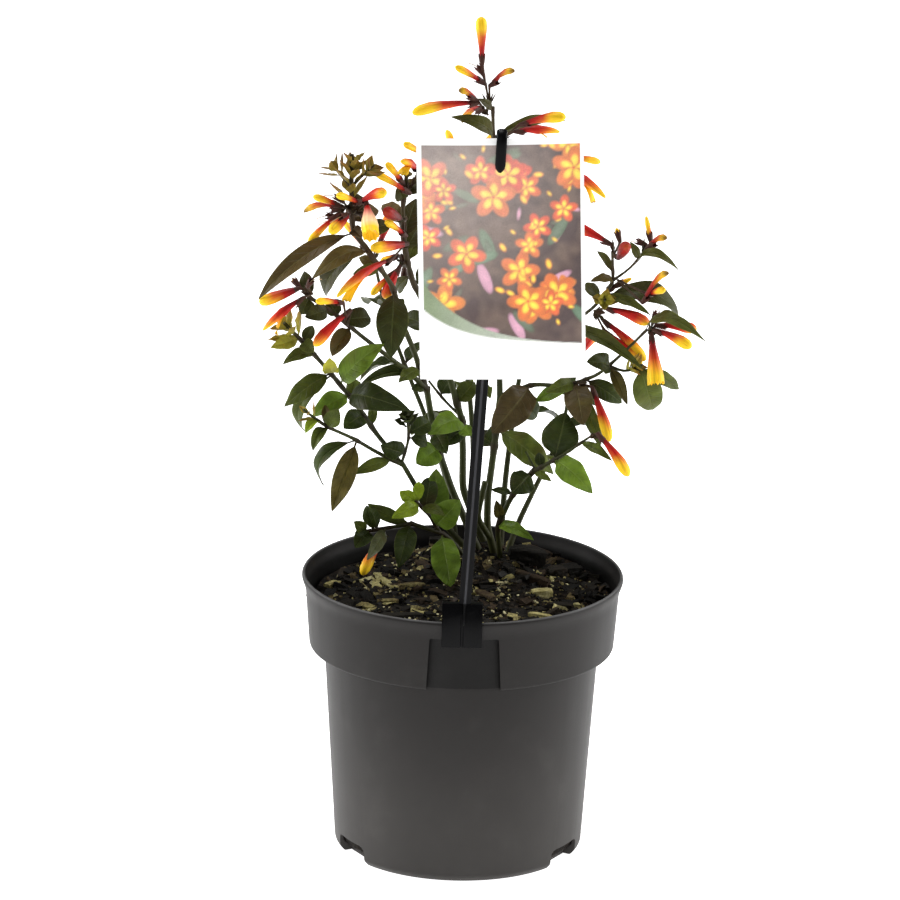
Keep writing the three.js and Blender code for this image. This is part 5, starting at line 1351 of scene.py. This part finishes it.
def all_sprays():
    sprays = SPRAYS + [back_spray(route) for _, _, *route in BACK_CANES]
    return [dict(spray, name=f"flower_spray_{n:02d}") for n, spray in enumerate(sprays, 1)]


def bract(skin, fork, base, look, leaves, draw):
    """A narrow dark scale that stands beside a bloom's stalk."""
    root = Vector(fork)
    stalk = Vector(base) - root
    outward = stalk.cross(Vector((0.2, 1, 0.4))).normalized() * (1 if next(draw) > 0.5 else -1)
    for way in (1, -1):
        reach = stalk.normalized() * (4.5 + 4 * next(draw)) + outward * way * (1.2 + 2.4 * next(draw))
        tone = blend(look.calyx, leaves.dark, next(draw) * 0.7)
        leaf(skin, root, root + reach, 1.8 + 1.3 * next(draw), -0.5, outward * way, 20, tone, leaves, draw)


# ---- Operators ----


class PLANT_OT_canes(bpy.types.Operator):
    """Grows the stems with their leaves and young tips"""

    bl_idname = "plant.canes"
    bl_label = "Leafy stems"

    def execute(self, context):
        look = context.scene.plant_foliage
        leaf_look, stem_look, tree = leaf_skin(), stem_skin(), swept_stems()
        for number, cane in enumerate(all_canes()):
            draw = draws(CANE_SEED + number)
            skin = Skin()
            seats = [Vector(row[0]) for row in cane["leaves"]]
            for foot_radius, end_radius, *route in cane["shoots"]:
                stem(skin, route, foot_radius, end_radius, seats, look)
            for base, tip, width, rise, tilt, fold, tone in cane["leaves"]:
                facing = up_and_front(tilt)
                leaf(skin, base, tip, width, rise, facing, fold, tone_of(look, tone), look, draw)
            for base, tip, pairs, length, width, tone in cane["tufts"]:
                tuft(skin, base, tip, pairs, length, width, tone, look, draw)
            mesh = skin.mesh(cane["name"], leaf_look)
            grown = tree.grow(mesh, cane["name"], Sides=look.stem_sides, Leaf=leaf_look, Stem=stem_look)
            settle(mesh_piece(cane["name"] + "_skin", grown), "foliage", cane["name"])
        return {"FINISHED"}


class PLANT_OT_sprays(bpy.types.Operator):
    """Grows the flower sprays"""

    bl_idname = "plant.sprays"
    bl_label = "Flower sprays"

    def execute(self, context):
        look, leaves = context.scene.plant_flowers, context.scene.plant_foliage
        calyx, petal = calyx_skin(), petal_skin()
        for number, spray in enumerate(all_sprays()):
            draw = draws(SPRAY_SEED + number)
            skin = Skin()
            for place, (base, tip, kind) in enumerate(spray["blooms"]):
                bloom(skin, spray["fork"], base, tip, kind, look, draw)
                if place % 2 == 0:
                    bract(skin, spray["fork"], base, look, leaves, draw)
            mesh = skin.mesh(spray["name"], calyx, petal)
            settle(mesh_piece(spray["name"] + "_skin", mesh), "flower", spray["name"])
        return {"FINISHED"}


# ---- Pot, potting mix, stake and card ----


def body_radius(height):
    return BASE_RADIUS + BODY_SLOPE * height


def eased(corners, steps=4):
    """An outline whose corners, each x, y and radius, are turned into short bends."""
    points = []
    for i, (x, y, radius) in enumerate(corners):
        here = Vector((x, y))
        if not radius or i in (0, len(corners) - 1):
            points.append(here)
            continue
        before, after = Vector(corners[i - 1][:2]), Vector(corners[i + 1][:2])
        start = here + (before - here).normalized() * min(radius, (before - here).length * 0.45)
        end = here + (after - here).normalized() * min(radius, (after - here).length * 0.45)
        for step in range(steps + 1):
            t = step / steps
            points.append(start * (1 - t) ** 2 + here * 2 * t * (1 - t) + end * t**2)
    return points


def pot_outline():
    """Up the outside and down the inside: foot, body, stepped collar, rolled bead and wall."""
    inner = WALL + 0.1
    return eased([
        (0, 0, 0),
        (BASE_RADIUS - 2.4, 0, 1),
        (body_radius(3), 3, 1.2),
        (body_radius(NECK), NECK, 0.5),
        (COLLAR_FOOT - 0.4, COLLAR_BOTTOM - 0.6, 0.4),
        (COLLAR_FOOT, COLLAR_BOTTOM + 0.3, 0.4),
        (COLLAR_HEAD + 0.5, COLLAR_TOP, 3.0),
        (RIM_RADIUS - 0.3, BEAD_FOOT + 0.2, 2.0),
        (RIM_RADIUS, POT_HEIGHT - 1.2, 0.8),
        (RIM_RADIUS - 0.8, POT_HEIGHT, 0.4),
        (RIM_RADIUS - 1.8, POT_HEIGHT, 0.4),
        (RIM_RADIUS - 2.4, BEAD_FOOT, 1.0),
        (COLLAR_HEAD + 0.5 - inner, COLLAR_TOP, 2.0),
        (COLLAR_FOOT - inner, COLLAR_BOTTOM + 2, 0.6),
        (body_radius(NECK) - inner, COLLAR_BOTTOM - 0.4, 0.6),
        (body_radius(6) - inner, 6, 1.5),
        (BASE_RADIUS - 5.4, POT_FLOOR, 1.0),
        (0, POT_FLOOR, 0),
    ])


def point_line(points, name):
    """A mesh of points alone, in the XZ plane."""
    mesh = bpy.data.meshes.new(name)
    mesh.from_pydata([(x * MM, 0, z * MM) for x, z in points], [], [])
    return mesh


def block(name, low, high, turn=0.0, corner=0.0, flare=0.0):
    """A block between two corners, turned about Z, with rounded upper corners and a flared foot."""
    lean = min(corner, (high[0] - low[0]) / 3)
    outline = [
        (low[0] - flare, low[2], 0), (high[0] + flare, low[2], 0),
        (high[0], high[2], lean), (low[0], high[2], lean), (low[0] - flare, low[2] + 0.01, 0),
    ]
    points = eased(outline, 3)[:-1]
    shell = bmesh.new()
    face = shell.faces.new([shell.verts.new((x * MM, low[1] * MM, z * MM)) for x, z in points])
    pushed = bmesh.ops.extrude_face_region(shell, geom=[face])["geom"]
    moved = [item for item in pushed if isinstance(item, bmesh.types.BMVert)]
    bmesh.ops.translate(shell, verts=moved, vec=(0, (high[1] - low[1]) * MM, 0))
    bmesh.ops.rotate(shell, verts=shell.verts, matrix=Matrix.Rotation(math.radians(turn), 3, "Z"))
    bmesh.ops.recalc_face_normals(shell, faces=shell.faces)
    mesh = bpy.data.meshes.new(name)
    shell.to_mesh(mesh)
    shell.free()
    return mesh


def carve(mesh, *steps):
    """Joins, cuts or crosses a mesh with others in turn, each an operation and a mesh."""
    body = new_object("body", mesh)
    helpers = [new_object("helper", other) for _, other in steps]
    for (operation, _), helper in zip(steps, helpers):
        modifier = body.modifiers.new("carve", "BOOLEAN")
        modifier.operation, modifier.solver, modifier.object = operation, "EXACT", helper
    made = baked(body)
    for helper in helpers:
        bpy.data.objects.remove(helper)
    return made


def softened(mesh, width):
    """The mesh with its hard edges rounded over."""
    holder = new_object("softened", mesh)
    modifier = holder.modifiers.new("edges", "BEVEL")
    modifier.width, modifier.segments = width * MM, 2
    modifier.limit_method, modifier.angle_limit = "ANGLE", math.radians(35)
    return baked(holder)


def pocket_space(margin, turned):
    """The pocket's space, grown by a margin: open below and as deep as its curved floor allows."""
    low, high = COLLAR_BOTTOM - 6 - margin, POCKET_TOP + margin

    def floor_at(height):
        collar = COLLAR_FOOT + COLLAR_SLOPE * (height - COLLAR_BOTTOM)
        return Vector((collar - POCKET_DEPTH - margin, height))

    ends = [Vector((0, low - 1)), floor_at(low - 1), floor_at(high + 1), Vector((0, high + 1))]
    half = POCKET_WIDTH / 2 + margin
    outer = block(
        "pocket", (POCKET_X - half, -RIM_RADIUS - 4, low), (POCKET_X + half, 20 - RIM_RADIUS, high),
        corner=1.2, flare=1.6,
    )
    return carve(outer, ("DIFFERENCE", turned(ends, "pocket_floor")))


class PLANT_OT_pot(bpy.types.Operator):
    """Turns the pot and cuts its label pocket and drainage notches"""

    bl_idname = "plant.pot"
    bl_label = "Pot"

    def execute(self, context):
        look = context.scene.plant_pot
        plastic = pot_plastic(look.plastic)
        tree = turned_shell()

        def turned(points, name):
            rows = dict(Sides=look.sides, Rows=len(points), Material=plastic)
            return tree.grow(point_line(points, name), name, **rows)

        shell = turned(pot_outline(), "pot_shell")
        ceiling = POCKET_TOP + 0.5
        hollow = [(0, NECK), (COLLAR_FOOT - 1, NECK), (COLLAR_HEAD - 0.9, ceiling), (0, ceiling)]
        hollow = turned([Vector(place) for place in hollow], "hollow")
        backing = carve(hollow, ("INTERSECT", pocket_space(POCKET_BACKING, turned)))
        notches = []
        for turn in NOTCH_ANGLES:
            low = (-NOTCH_WIDTH / 2, -BASE_RADIUS - NOTCH_REACH, -NOTCH_HEIGHT)
            high = (NOTCH_WIDTH / 2, -BASE_RADIUS + NOTCH_REACH, NOTCH_HEIGHT)
            notches.append(("DIFFERENCE", block("notch", low, high, turn, NOTCH_CORNER)))
        pocket = pocket_space(0, turned)
        made = carve(shell, ("UNION", backing), ("DIFFERENCE", pocket), *notches)
        made.materials.clear()
        made.materials.append(plastic)
        settle(mesh_piece("pot_shell", made, sharp=32), "pot", "pot")
        return {"FINISHED"}


def soil_height(x, y):
    """Level near the wall, mounded round the crown and softly uneven."""
    away = (x - MOUND_X) ** 2 + (y - MOUND_Y) ** 2
    mound = MOUND_HEIGHT * math.exp(-away / (2 * MOUND_SPREAD**2))
    ripple = math.sin(x * 0.19 + 1) * math.cos(y * 0.16) + 0.6 * math.sin(x * 0.37 - y * 0.31)
    return SOIL_LEVEL + mound + ripple


# Bark that stands out: x, y, length, width, height, turn, lean and how pale it is.
BIG_CHIPS = [
    (34, 34, 19, 10, 11, 10, 8, 0.18),
    (35, 14, 25, 5, 5, -32, 5, 0.58),
    (50, 25, 10, 9, 8, 20, 0, 0.42),
    (57, 33, 13, 11, 9, 30, 0, 0.12),
    (42, -2, 11, 6, 5, 15, 0, 0.84),
    (20, 6, 12, 2, 2.0, 16, 4, 0.92),
    (12, -9, 16, 5, 3, -55, 0, 0.62),
    (-40, 14, 13, 2.6, 3, -62, 6, 0.84),
    (-27, 3, 15, 4, 3.5, 24, 4, 0.74),
    (-39, -14, 11, 4, 3, 10, 0, 0.74),
    (-69, 14, 12, 5, 3.5, 60, 6, 0.78),
    (-11, -4, 14, 6, 3, -30, 8, 0.5),
    (52, -19, 12, 6, 4, -10, 0, 0.4),
    (41, -34, 13, 3.6, 3.5, -25, 0, 0.8),
    (-32, -40, 24, 6, 4, 25, 5, 0.35),
    (-62, -20, 16, 7, 5, 60, 0, 0.3),
    (-8, 66, 20, 8, 6, 0, 5, 0.3),
    (40, 56, 16, 8, 7, -40, 5, 0.5),
]


def bark_chip(x, y, length, width, height, turn, lean):
    """A split chip: a block with rounded ends and torn sides."""
    shell = bmesh.new()
    bmesh.ops.create_cube(shell, size=1)
    bmesh.ops.subdivide_edges(shell, edges=shell.edges, cuts=5, use_grid_fill=True)
    place = Matrix.Translation((x, y, soil_height(x, y) + height * 0.15))
    place = place @ Matrix.Rotation(math.radians(turn), 4, "Z")
    place = place @ Matrix.Rotation(math.radians(lean), 4, "Y")
    for vert in shell.verts:
        round_off = 1 - 0.22 * (abs(vert.co.x * 2) ** 3) - 0.1 * (abs(vert.co.y * 2) ** 4)
        grown = Vector((vert.co.x * length, vert.co.y * width * round_off, vert.co.z * height * round_off))
        torn = noise.noise_vector(Vector((grown.x * 0.12, grown.y * 0.9, grown.z * 0.9 + x)))
        vert.co = place @ (grown + torn * 0.12 * min(width, height))
    shell.verts.index_update()
    points = [vert.co.copy() for vert in shell.verts]
    faces = [[vert.index for vert in face.verts] for face in shell.faces]
    shell.free()
    return points, faces


class PLANT_OT_soil(bpy.types.Operator):
    """Fills the pot and strews bark, crumbs and fibres over it"""

    bl_idname = "plant.soil"
    bl_label = "Potting mix"

    def execute(self, context):
        look = context.scene.plant_pot
        soil, chip_look = peat(look.soil), bark()
        skin = Skin()

        def ring(radius, height=None):
            points = []
            for step in range(SOIL_SIDES):
                angle = step / SOIL_SIDES * math.tau
                x, y = radius * math.cos(angle), radius * math.sin(angle)
                z = soil_height(x, y) if height is None else height
                clod = noise.noise(Vector((x, y, 3)) * 0.16) * 1.2
                points.append(Vector((x, y, z + (clod if height is None else 0))))
            return skin.ring(points)

        side = WALL + 0.7
        rows = [
            ring(BASE_RADIUS - 5.6, POT_FLOOR + GAP),
            ring(body_radius(6) - side, 6.3),
            ring(body_radius(NECK) - side, COLLAR_BOTTOM + 0.2),
            ring(COLLAR_FOOT - side - 0.3, COLLAR_BOTTOM + 2.6),
            ring(SOIL_RADIUS, SOIL_LEVEL - 4),
        ]
        rows += [ring(radius) for radius in (SOIL_RADIUS, *range(76, 2, -3), 1)]
        round_rows(skin, rows)
        ground = skin.mesh("ground", soil)
        turn_outwards(ground)
        area = math.pi * (SOIL_RADIUS * MM) ** 2
        values = dict(
            Chips=look.chips / area, Crumbs=look.crumbs / area, Fibres=look.fibres / area,
            Chip_length=look.chip, Edge=(SOIL_RADIUS - BARE_EDGE) * MM, Soil=soil, Bark=chip_look,
        )
        grown = scattered_bits().grow(ground, "potting_mix", **values)
        heap = bmesh.new()
        heap.from_mesh(grown)
        paleness = heap.verts.layers.float["tone"]
        slot = next(i for i, item in enumerate(grown.materials) if item == chip_look)
        noise.seed_set(CHIP_SEED)
        for *shape, pale in BIG_CHIPS:
            points, faces = bark_chip(*shape)
            verts = [heap.verts.new(point * MM) for point in points]
            for vert in verts:
                vert[paleness] = pale
            for face in faces:
                heap.faces.new([verts[i] for i in face]).material_index = slot
        heap.to_mesh(grown)
        heap.free()
        settle(mesh_piece("potting_mix_skin", grown, sharp=40), "soil", "potting_mix")
        return {"FINISHED"}


def tube(skin, line, section, rounded=0):
    """Carries a flat outline along a line, narrows its last steps and closes both ends."""
    rows = []
    for i, middle in enumerate(line):
        late = max(0, i + rounded + 1 - len(line)) / max(rounded, 1)
        squeeze = math.sqrt(1 - 0.9 * late**2)
        ahead = (line[min(i + 1, len(line) - 1)] - line[max(i - 1, 0)]).normalized()
        across = Vector((1, 0, 0))
        across = (across - ahead * across.dot(ahead)).normalized()
        up = ahead.cross(across)
        points = [middle + across * x * squeeze + up * y for x, y in section]
        rows.append(skin.ring(points))
    round_rows(skin, rows)


class PLANT_OT_stake(bpy.types.Operator):
    """Makes the ribbed label stake with its rim clip and its hook"""

    bl_idname = "plant.stake"
    bl_label = "Label stake"

    def execute(self, context):
        plastic = stake_plastic(context.scene.plant_label.stake)
        half = STAKE_WIDTH / 2
        foot = Vector((STAKE_FOOT[0], STAKE_Y, STAKE_FOOT[1]))
        head = Vector((STAKE_HEAD[0], STAKE_Y, STAKE_HEAD[1]))
        bar = Skin()
        ribbed = [
            (-half, 0), (-half, -0.9), (-0.9, -1.2), (-0.4, -2.3), (0.4, -2.3),
            (0.9, -1.2), (half, -0.9), (half, 0), (0, 1),
        ]
        tube(bar, [foot.lerp(head, step / 24) for step in range(25)], ribbed)
        front = CARD_Y - CARD_THICKNESS / 2 - GAP - 1.3
        back, x, z = STAKE_Y - 0.4, STAKE_HEAD[0], STAKE_HEAD[1]
        route = [
            (x - 1, back, z - 6), (x, back, z + 1), (x + 0.1, (back + front) / 2, z + 3.6),
            (x + 0.1, front, z + 1), (x - 0.6, front, z - 17),
        ]
        turns = [step / 16 * math.tau for step in range(16)]
        oval = [(STRAP_WIDTH / 2 * math.cos(turn), STRAP_DEPTH / 2 * math.sin(turn)) for turn in turns]
        strap = Skin()
        tube(strap, smooth_curve(route, 10), oval, rounded=2)
        # the bar's ridge runs on over the clip's sloping front
        outer, inner = RIM_RADIUS + CLIP_OUTER, COLLAR_HEAD - WALL - CLIP_PLATE
        slope = ((RIM_RADIUS - 0.2, CLIP_TOP + 1), (outer, POT_HEIGHT + 3), (outer, POT_HEIGHT))
        ridge = [Vector((foot.x, -reach, height)) for reach, height in slope]
        tube(strap, ridge, [(-0.5, -0.5), (0.5, -0.5), (0.5, 0.5), (-0.5, 0.5)])
        seat = POT_HEIGHT + GAP
        saddle = [
            (outer, CLIP_SKIRT), (RIM_RADIUS + GAP, CLIP_SKIRT), (RIM_RADIUS + GAP, seat),
            (inner, seat), (inner, CLIP_SKIRT + 3.5), (inner - CLIP_PLATE, CLIP_SKIRT + 3.5),
            (inner - CLIP_PLATE, seat + 1.7), (inner + 0.6, seat + 3.7), (inner + 0.6, CLIP_TOP - 1),
            (inner + 1.6, CLIP_TOP), (RIM_RADIUS - 0.6, CLIP_TOP), (outer, seat + 2.7),
        ]
        clip = Skin()
        ends = (-CLIP_WIDTH / 2, CLIP_WIDTH / 2)
        round_rows(clip, [clip.ring([Vector((x, -reach, z)) for reach, z in saddle]) for x in ends])
        groove = block("groove", (-0.7, -outer - 0.8, 100), (0.7, -outer + 0.8, CLIP_TOP + 5))
        cut = carve(clip.mesh("clip", plastic), ("DIFFERENCE", groove))
        whole = bmesh.new()
        bar, strap = bar.mesh("bar", plastic), strap.mesh("strap", plastic)
        for mesh, width in ((bar, 0.2), (strap, 0.15), (cut, 0.35)):
            whole.from_mesh(softened(mesh, width))
        made = bpy.data.meshes.new("label_stake")
        whole.to_mesh(made)
        whole.free()
        made.materials.append(plastic)
        settle(mesh_piece("label_stake_skin", made, sharp=40), "stake", "label_stake")
        return {"FINISHED"}


# ---- The printed card ----

CARD_COLUMNS, CARD_ROWS = 132, 198
PANEL_LEFT, PANEL_RIGHT, PANEL_TOP = 2.6, 82.6, 123
PRINTED_LEAVES, PRINTED_BLOSSOMS, PRINTED_PETALS = 34, 26, 5
PRINT_BLUR = 0.7
# How far the middles of motifs reach across, and from where and how far they reach up.
MOTIF_WIDTH, LEAF_FOOT, LEAF_REACH, BLOSSOM_FOOT, BLOSSOM_REACH = 84, 20, 106, 34, 90


def panel_foot(x):
    """Height of the picture's curved lower edge."""
    rest = 1 - x / CARD_WIDTH
    return 18 + 6 * rest + 15 * rest**5


def band_top(x):
    return panel_foot(x) + 15 * (1 - x / CARD_WIDTH) ** 2.6


def grid_lines(count, size, borders):
    """Even steps, but with two lines drawn together at each border so that its edge is crisp."""
    lines = [size * step / count for step in range(count + 1)]
    for border in borders:
        near = int(border / size * count)
        lines[near], lines[near + 1] = border - 0.05, border + 0.05
    return lines


def soft(distance):
    """0 outside an edge, 1 inside it, and a short blend across it."""
    return min(max(distance / PRINT_BLUR + 0.5, 0), 1)


def card_colours(look, foliage, lines_x, lines_y):
    """The print, cell by cell: round blossoms, buds and leaves over a dark ground."""
    step_x, step_y = CARD_WIDTH / CARD_COLUMNS, CARD_HEIGHT / CARD_ROWS
    names = ("card", "ground", "band", "shadow", "haze", "pink", "sea", "coral", "sun")
    plain, ground, band, shadow, haze, pink, sea, coral, sun = (tone_of(look, name) for name in names)
    dark = tone_of(foliage, "dark")
    cells = []
    for row in range(CARD_ROWS + 1):
        line = []
        for column in range(CARD_COLUMNS + 1):
            x, y = column * step_x, row * step_y
            cloud = noise.noise(Vector((x, y, 0)) * 0.06) + 0.5 * noise.noise(Vector((x, y, 5)) * 0.2)
            share = 0.25 + 1.3 * cloud + 0.45 * x / CARD_WIDTH
            line.append(blend(ground, shadow, min(max(share, 0), 1)))
        cells.append(line)

    def touched(middle, reach, step, last):
        """Numbers of the grid lines that a motif may touch."""
        low, high = int((middle - reach) / step), int((middle + reach) / step) + 1
        return range(max(0, low), min(last, high) + 1)

    def oval(x, y, long, wide, turn, middle, edge):
        """Paints one petal or leaf, from the colour at its middle to that at its edge."""
        reach = max(long, wide)
        cosine, sine = math.cos(turn), math.sin(turn)
        for row in touched(y, reach, step_y, CARD_ROWS):
            for column in touched(x, reach, step_x, CARD_COLUMNS):
                dx, dy = column * step_x - x, row * step_y - y
                along, across = dx * cosine + dy * sine, dy * cosine - dx * sine
                away = (along / long) ** 2 + (across / wide) ** 2
                if away < 1:
                    cover = min((1 - away) * min(long, wide) / (2 * step_x), 1)
                    ink = blend(middle, edge, away**0.8)
                    cells[row][column] = blend(cells[row][column], ink, cover)

    draw = draws(CARD_SEED)
    for _ in range(PRINTED_LEAVES):
        x, y = MOTIF_WIDTH * next(draw), LEAF_FOOT + LEAF_REACH * next(draw)
        turn = math.tau * next(draw)
        long, pale = 4 + 6 * next(draw), next(draw)
        tone = blend(dark, sea, pale) if pale < 0.85 else pink
        oval(x, y, long, long * 0.34, turn, blend(tone, haze, 0.12), blend(tone, ground, 0.25))

    def petal(x, y, size, reach, shape, angle, *inks):
        """An oval that points away from a blossom's middle, at a share of its size."""
        x, y = x + size * reach * math.cos(angle), y + size * reach * math.sin(angle)
        oval(x, y, size * shape[0], size * shape[1], angle, *inks)

    for _ in range(PRINTED_BLOSSOMS):
        x, y = MOTIF_WIDTH * next(draw), BLOSSOM_FOOT + BLOSSOM_REACH * next(draw)
        turn = math.tau * next(draw)
        size, mood = 5.5 + 4.5 * next(draw), next(draw)
        edge = blend(coral, sun, 0.25 * mood)
        for n in range(PRINTED_PETALS):
            angle = turn + n / PRINTED_PETALS * math.tau
            petal(x, y, size, 0.62, (0.62, 0.42), angle, edge, blend(edge, shadow, 0.25))
            petal(x, y, size, 0.4, (0.38, 0.24), angle, sun, blend(coral, sun, 0.5))
        petal(x, y, size, 0, (0.16, 0.16), 0, coral, sun)
        for bud in range(2):
            petal(x, y, size, 1.7, (0.36, 0.2), turn + 1.1 + bud, sun, coral)
    for y, line in zip(lines_y, cells):
        for column, x in enumerate(lines_x):
            foot, inside = y - panel_foot(x), min(x - PANEL_LEFT, PANEL_RIGHT - x, PANEL_TOP - y)
            glare = 0.03 + 0.33 * max(0, 1 - math.hypot(x - 14, y - 112) / 80)
            line[column] = blend(line[column], haze, glare)
            faded = blend(band, plain, 0.7 * x / CARD_WIDTH)
            line[column] = blend(faded, line[column], soft(y - band_top(x)))
            line[column] = blend(plain, line[column], soft(foot) if inside > 0 else 0)
    return cells


class PLANT_OT_card(bpy.types.Operator):
    """Makes the bowed picture card that hangs from the stake's hook"""

    bl_idname = "plant.card"
    bl_label = "Picture card"

    def execute(self, context):
        scene = context.scene
        look = scene.plant_label
        plain = tuple(look.card)
        lines_x = grid_lines(CARD_COLUMNS, CARD_WIDTH, (PANEL_LEFT, PANEL_RIGHT))
        lines_y = grid_lines(CARD_ROWS, CARD_HEIGHT, (PANEL_TOP,))
        cells = card_colours(look, scene.plant_foliage, lines_x, lines_y)
        turn = Matrix.Rotation(math.radians(-CARD_TURN), 3, "Y")
        centre = Vector((CARD_X, CARD_Y, CARD_Z))
        skin, half = Skin(), CARD_THICKNESS / 2

        def place(column, row, depth):
            x, z = lines_x[column] - CARD_WIDTH / 2, lines_y[row] - CARD_HEIGHT / 2
            across = 2 * x / CARD_WIDTH
            return centre + turn @ Vector((x, depth + CARD_BOW * across**2, z))

        columns = range(CARD_COLUMNS + 1)
        front = []
        for row in range(CARD_ROWS + 1):
            printed = [(0 if cells[row][column] == plain else 1, 0, 0) for column in columns]
            front.append(skin.ring([place(column, row, -half) for column in columns], cells[row], printed))
        ends = (0, CARD_ROWS)
        back = [skin.ring([place(column, row, half) for column in columns], plain) for row in ends]
        for one, other in (*zip(front, front[1:]), back, (front[0], back[0]), (front[-1], back[1])):
            skin.join(one, other, closed=False)
        for end in (0, -1):
            skin.lid([row[end] for row in front] + [back[1][end], back[0][end]])
        made = skin.mesh("label_card", printed_card())
        settle(mesh_piece("label_card_skin", made, sharp=40), "card", "label_card")
        return {"FINISHED"}


# ---- Stage ----

VIEW_TARGET = Vector((-7.921, 0, 217.547)) * MM
VIEW_DISTANCE, VIEW_HEIGHT, VIEW_ROLL = 3.5, 17, 1.077
VIEW_LENS, SENSOR = 266.66, 36
FLOOR_HALF = 6
LIT_PLACE = Vector((0, 0, 0.22))

# Soft lights: place, size and the setting that holds the strength.
LIGHTS = {
    "left": ((-1.7, 0.25, 0.75), 1.1, "sides"),
    "right": ((1.7, 0.25, 0.75), 1.1, "sides"),
    "overhead": ((-0.2, 0.35, 2.0), 1.0, "overhead"),
    "front": ((-0.5, -2.4, 1.5), 1.0, "front"),
}


class PLANT_OT_stage(bpy.types.Operator):
    """Sets up the floor, the soft light and the camera"""

    bl_idname = "plant.stage"
    bl_label = "Stage"

    def execute(self, context):
        scene = context.scene
        look = scene.plant_stage
        floor = bpy.data.meshes.new("floor")
        corners = [(x * FLOOR_HALF, y * FLOOR_HALF, 0) for x, y in ((-1, -1), (1, -1), (1, 1), (-1, 1))]
        floor.from_pydata(corners, [], [(0, 1, 2, 3)])
        floor.materials.append(floor_paper(look.floor, look.glow))
        ground = new_object("floor", floor)
        world = bpy.data.worlds.new("studio")
        world.use_nodes = True
        sky = world.node_tree.nodes["Background"]
        sky.inputs["Color"].default_value = (1, 1, 1, 1)
        sky.inputs["Strength"].default_value = look.sky
        scene.world = world
        for name, (place, size, strength) in LIGHTS.items():
            lamp = bpy.data.lights.new(name, "AREA")
            lamp.shape, lamp.size, lamp.energy = "DISK", size, getattr(look, strength)
            holder = new_object(name, lamp)
            holder.location = place
            holder.rotation_euler = (LIT_PLACE - Vector(place)).to_track_quat("-Z", "Y").to_euler()
        scene.view_settings.view_transform = "Standard"
        rise, roll = math.radians(VIEW_HEIGHT), math.radians(VIEW_ROLL)
        ahead = Vector((0, math.cos(rise), -math.sin(rise)))
        up, right = Vector((0, math.sin(rise), math.cos(rise))), Vector((1, 0, 0))
        across = right * math.cos(roll) + up * math.sin(roll)
        upright = up * math.cos(roll) - right * math.sin(roll)
        camera = bpy.data.cameras.new("camera")
        camera.lens, camera.sensor_width = VIEW_LENS, SENSOR
        camera.clip_start, camera.clip_end = 0.1, 50
        scene.camera = new_object("camera", camera)
        turned = Matrix((across, upright, -ahead)).transposed().to_4x4()
        scene.camera.matrix_world = Matrix.Translation(VIEW_TARGET - ahead * VIEW_DISTANCE) @ turned
        return {"FINISHED"}


# ---- Panel and registration ----

OPERATORS = (
    PLANT_OT_pot, PLANT_OT_soil, PLANT_OT_stake, PLANT_OT_card,
    PLANT_OT_canes, PLANT_OT_sprays, PLANT_OT_stage,
)
SETTINGS = {
    "plant_pot": PotSettings,
    "plant_label": LabelSettings,
    "plant_foliage": FoliageSettings,
    "plant_flowers": FlowerSettings,
    "plant_stage": StageSettings,
}


class PLANT_PT_panel(bpy.types.Panel):
    """Lists the plant's pieces and their settings"""

    bl_label = "Potted shrimp plant"
    bl_idname = "PLANT_PT_panel"
    bl_space_type = "VIEW_3D"
    bl_region_type = "UI"
    bl_category = "Plant"

    def draw(self, context):
        for operator in OPERATORS:
            self.layout.operator(operator.bl_idname, text=operator.bl_label)
        for name in SETTINGS:
            group = getattr(context.scene, name)
            column = self.layout.column(align=True)
            for key in group.__annotations__:
                column.prop(group, key)


def register():
    for name, group in SETTINGS.items():
        bpy.utils.register_class(group)
        setattr(bpy.types.Scene, name, PointerProperty(type=group))
    for item in (*OPERATORS, PLANT_PT_panel):
        bpy.utils.register_class(item)


def unregister():
    for item in (PLANT_PT_panel, *reversed(OPERATORS)):
        bpy.utils.unregister_class(item)
    for name, group in reversed(SETTINGS.items()):
        delattr(bpy.types.Scene, name)
        bpy.utils.unregister_class(group)


def main():
    register()
    for operator in OPERATORS:
        getattr(bpy.ops.plant, operator.bl_idname.split(".")[1])()


if __name__ == "__main__":
    main()
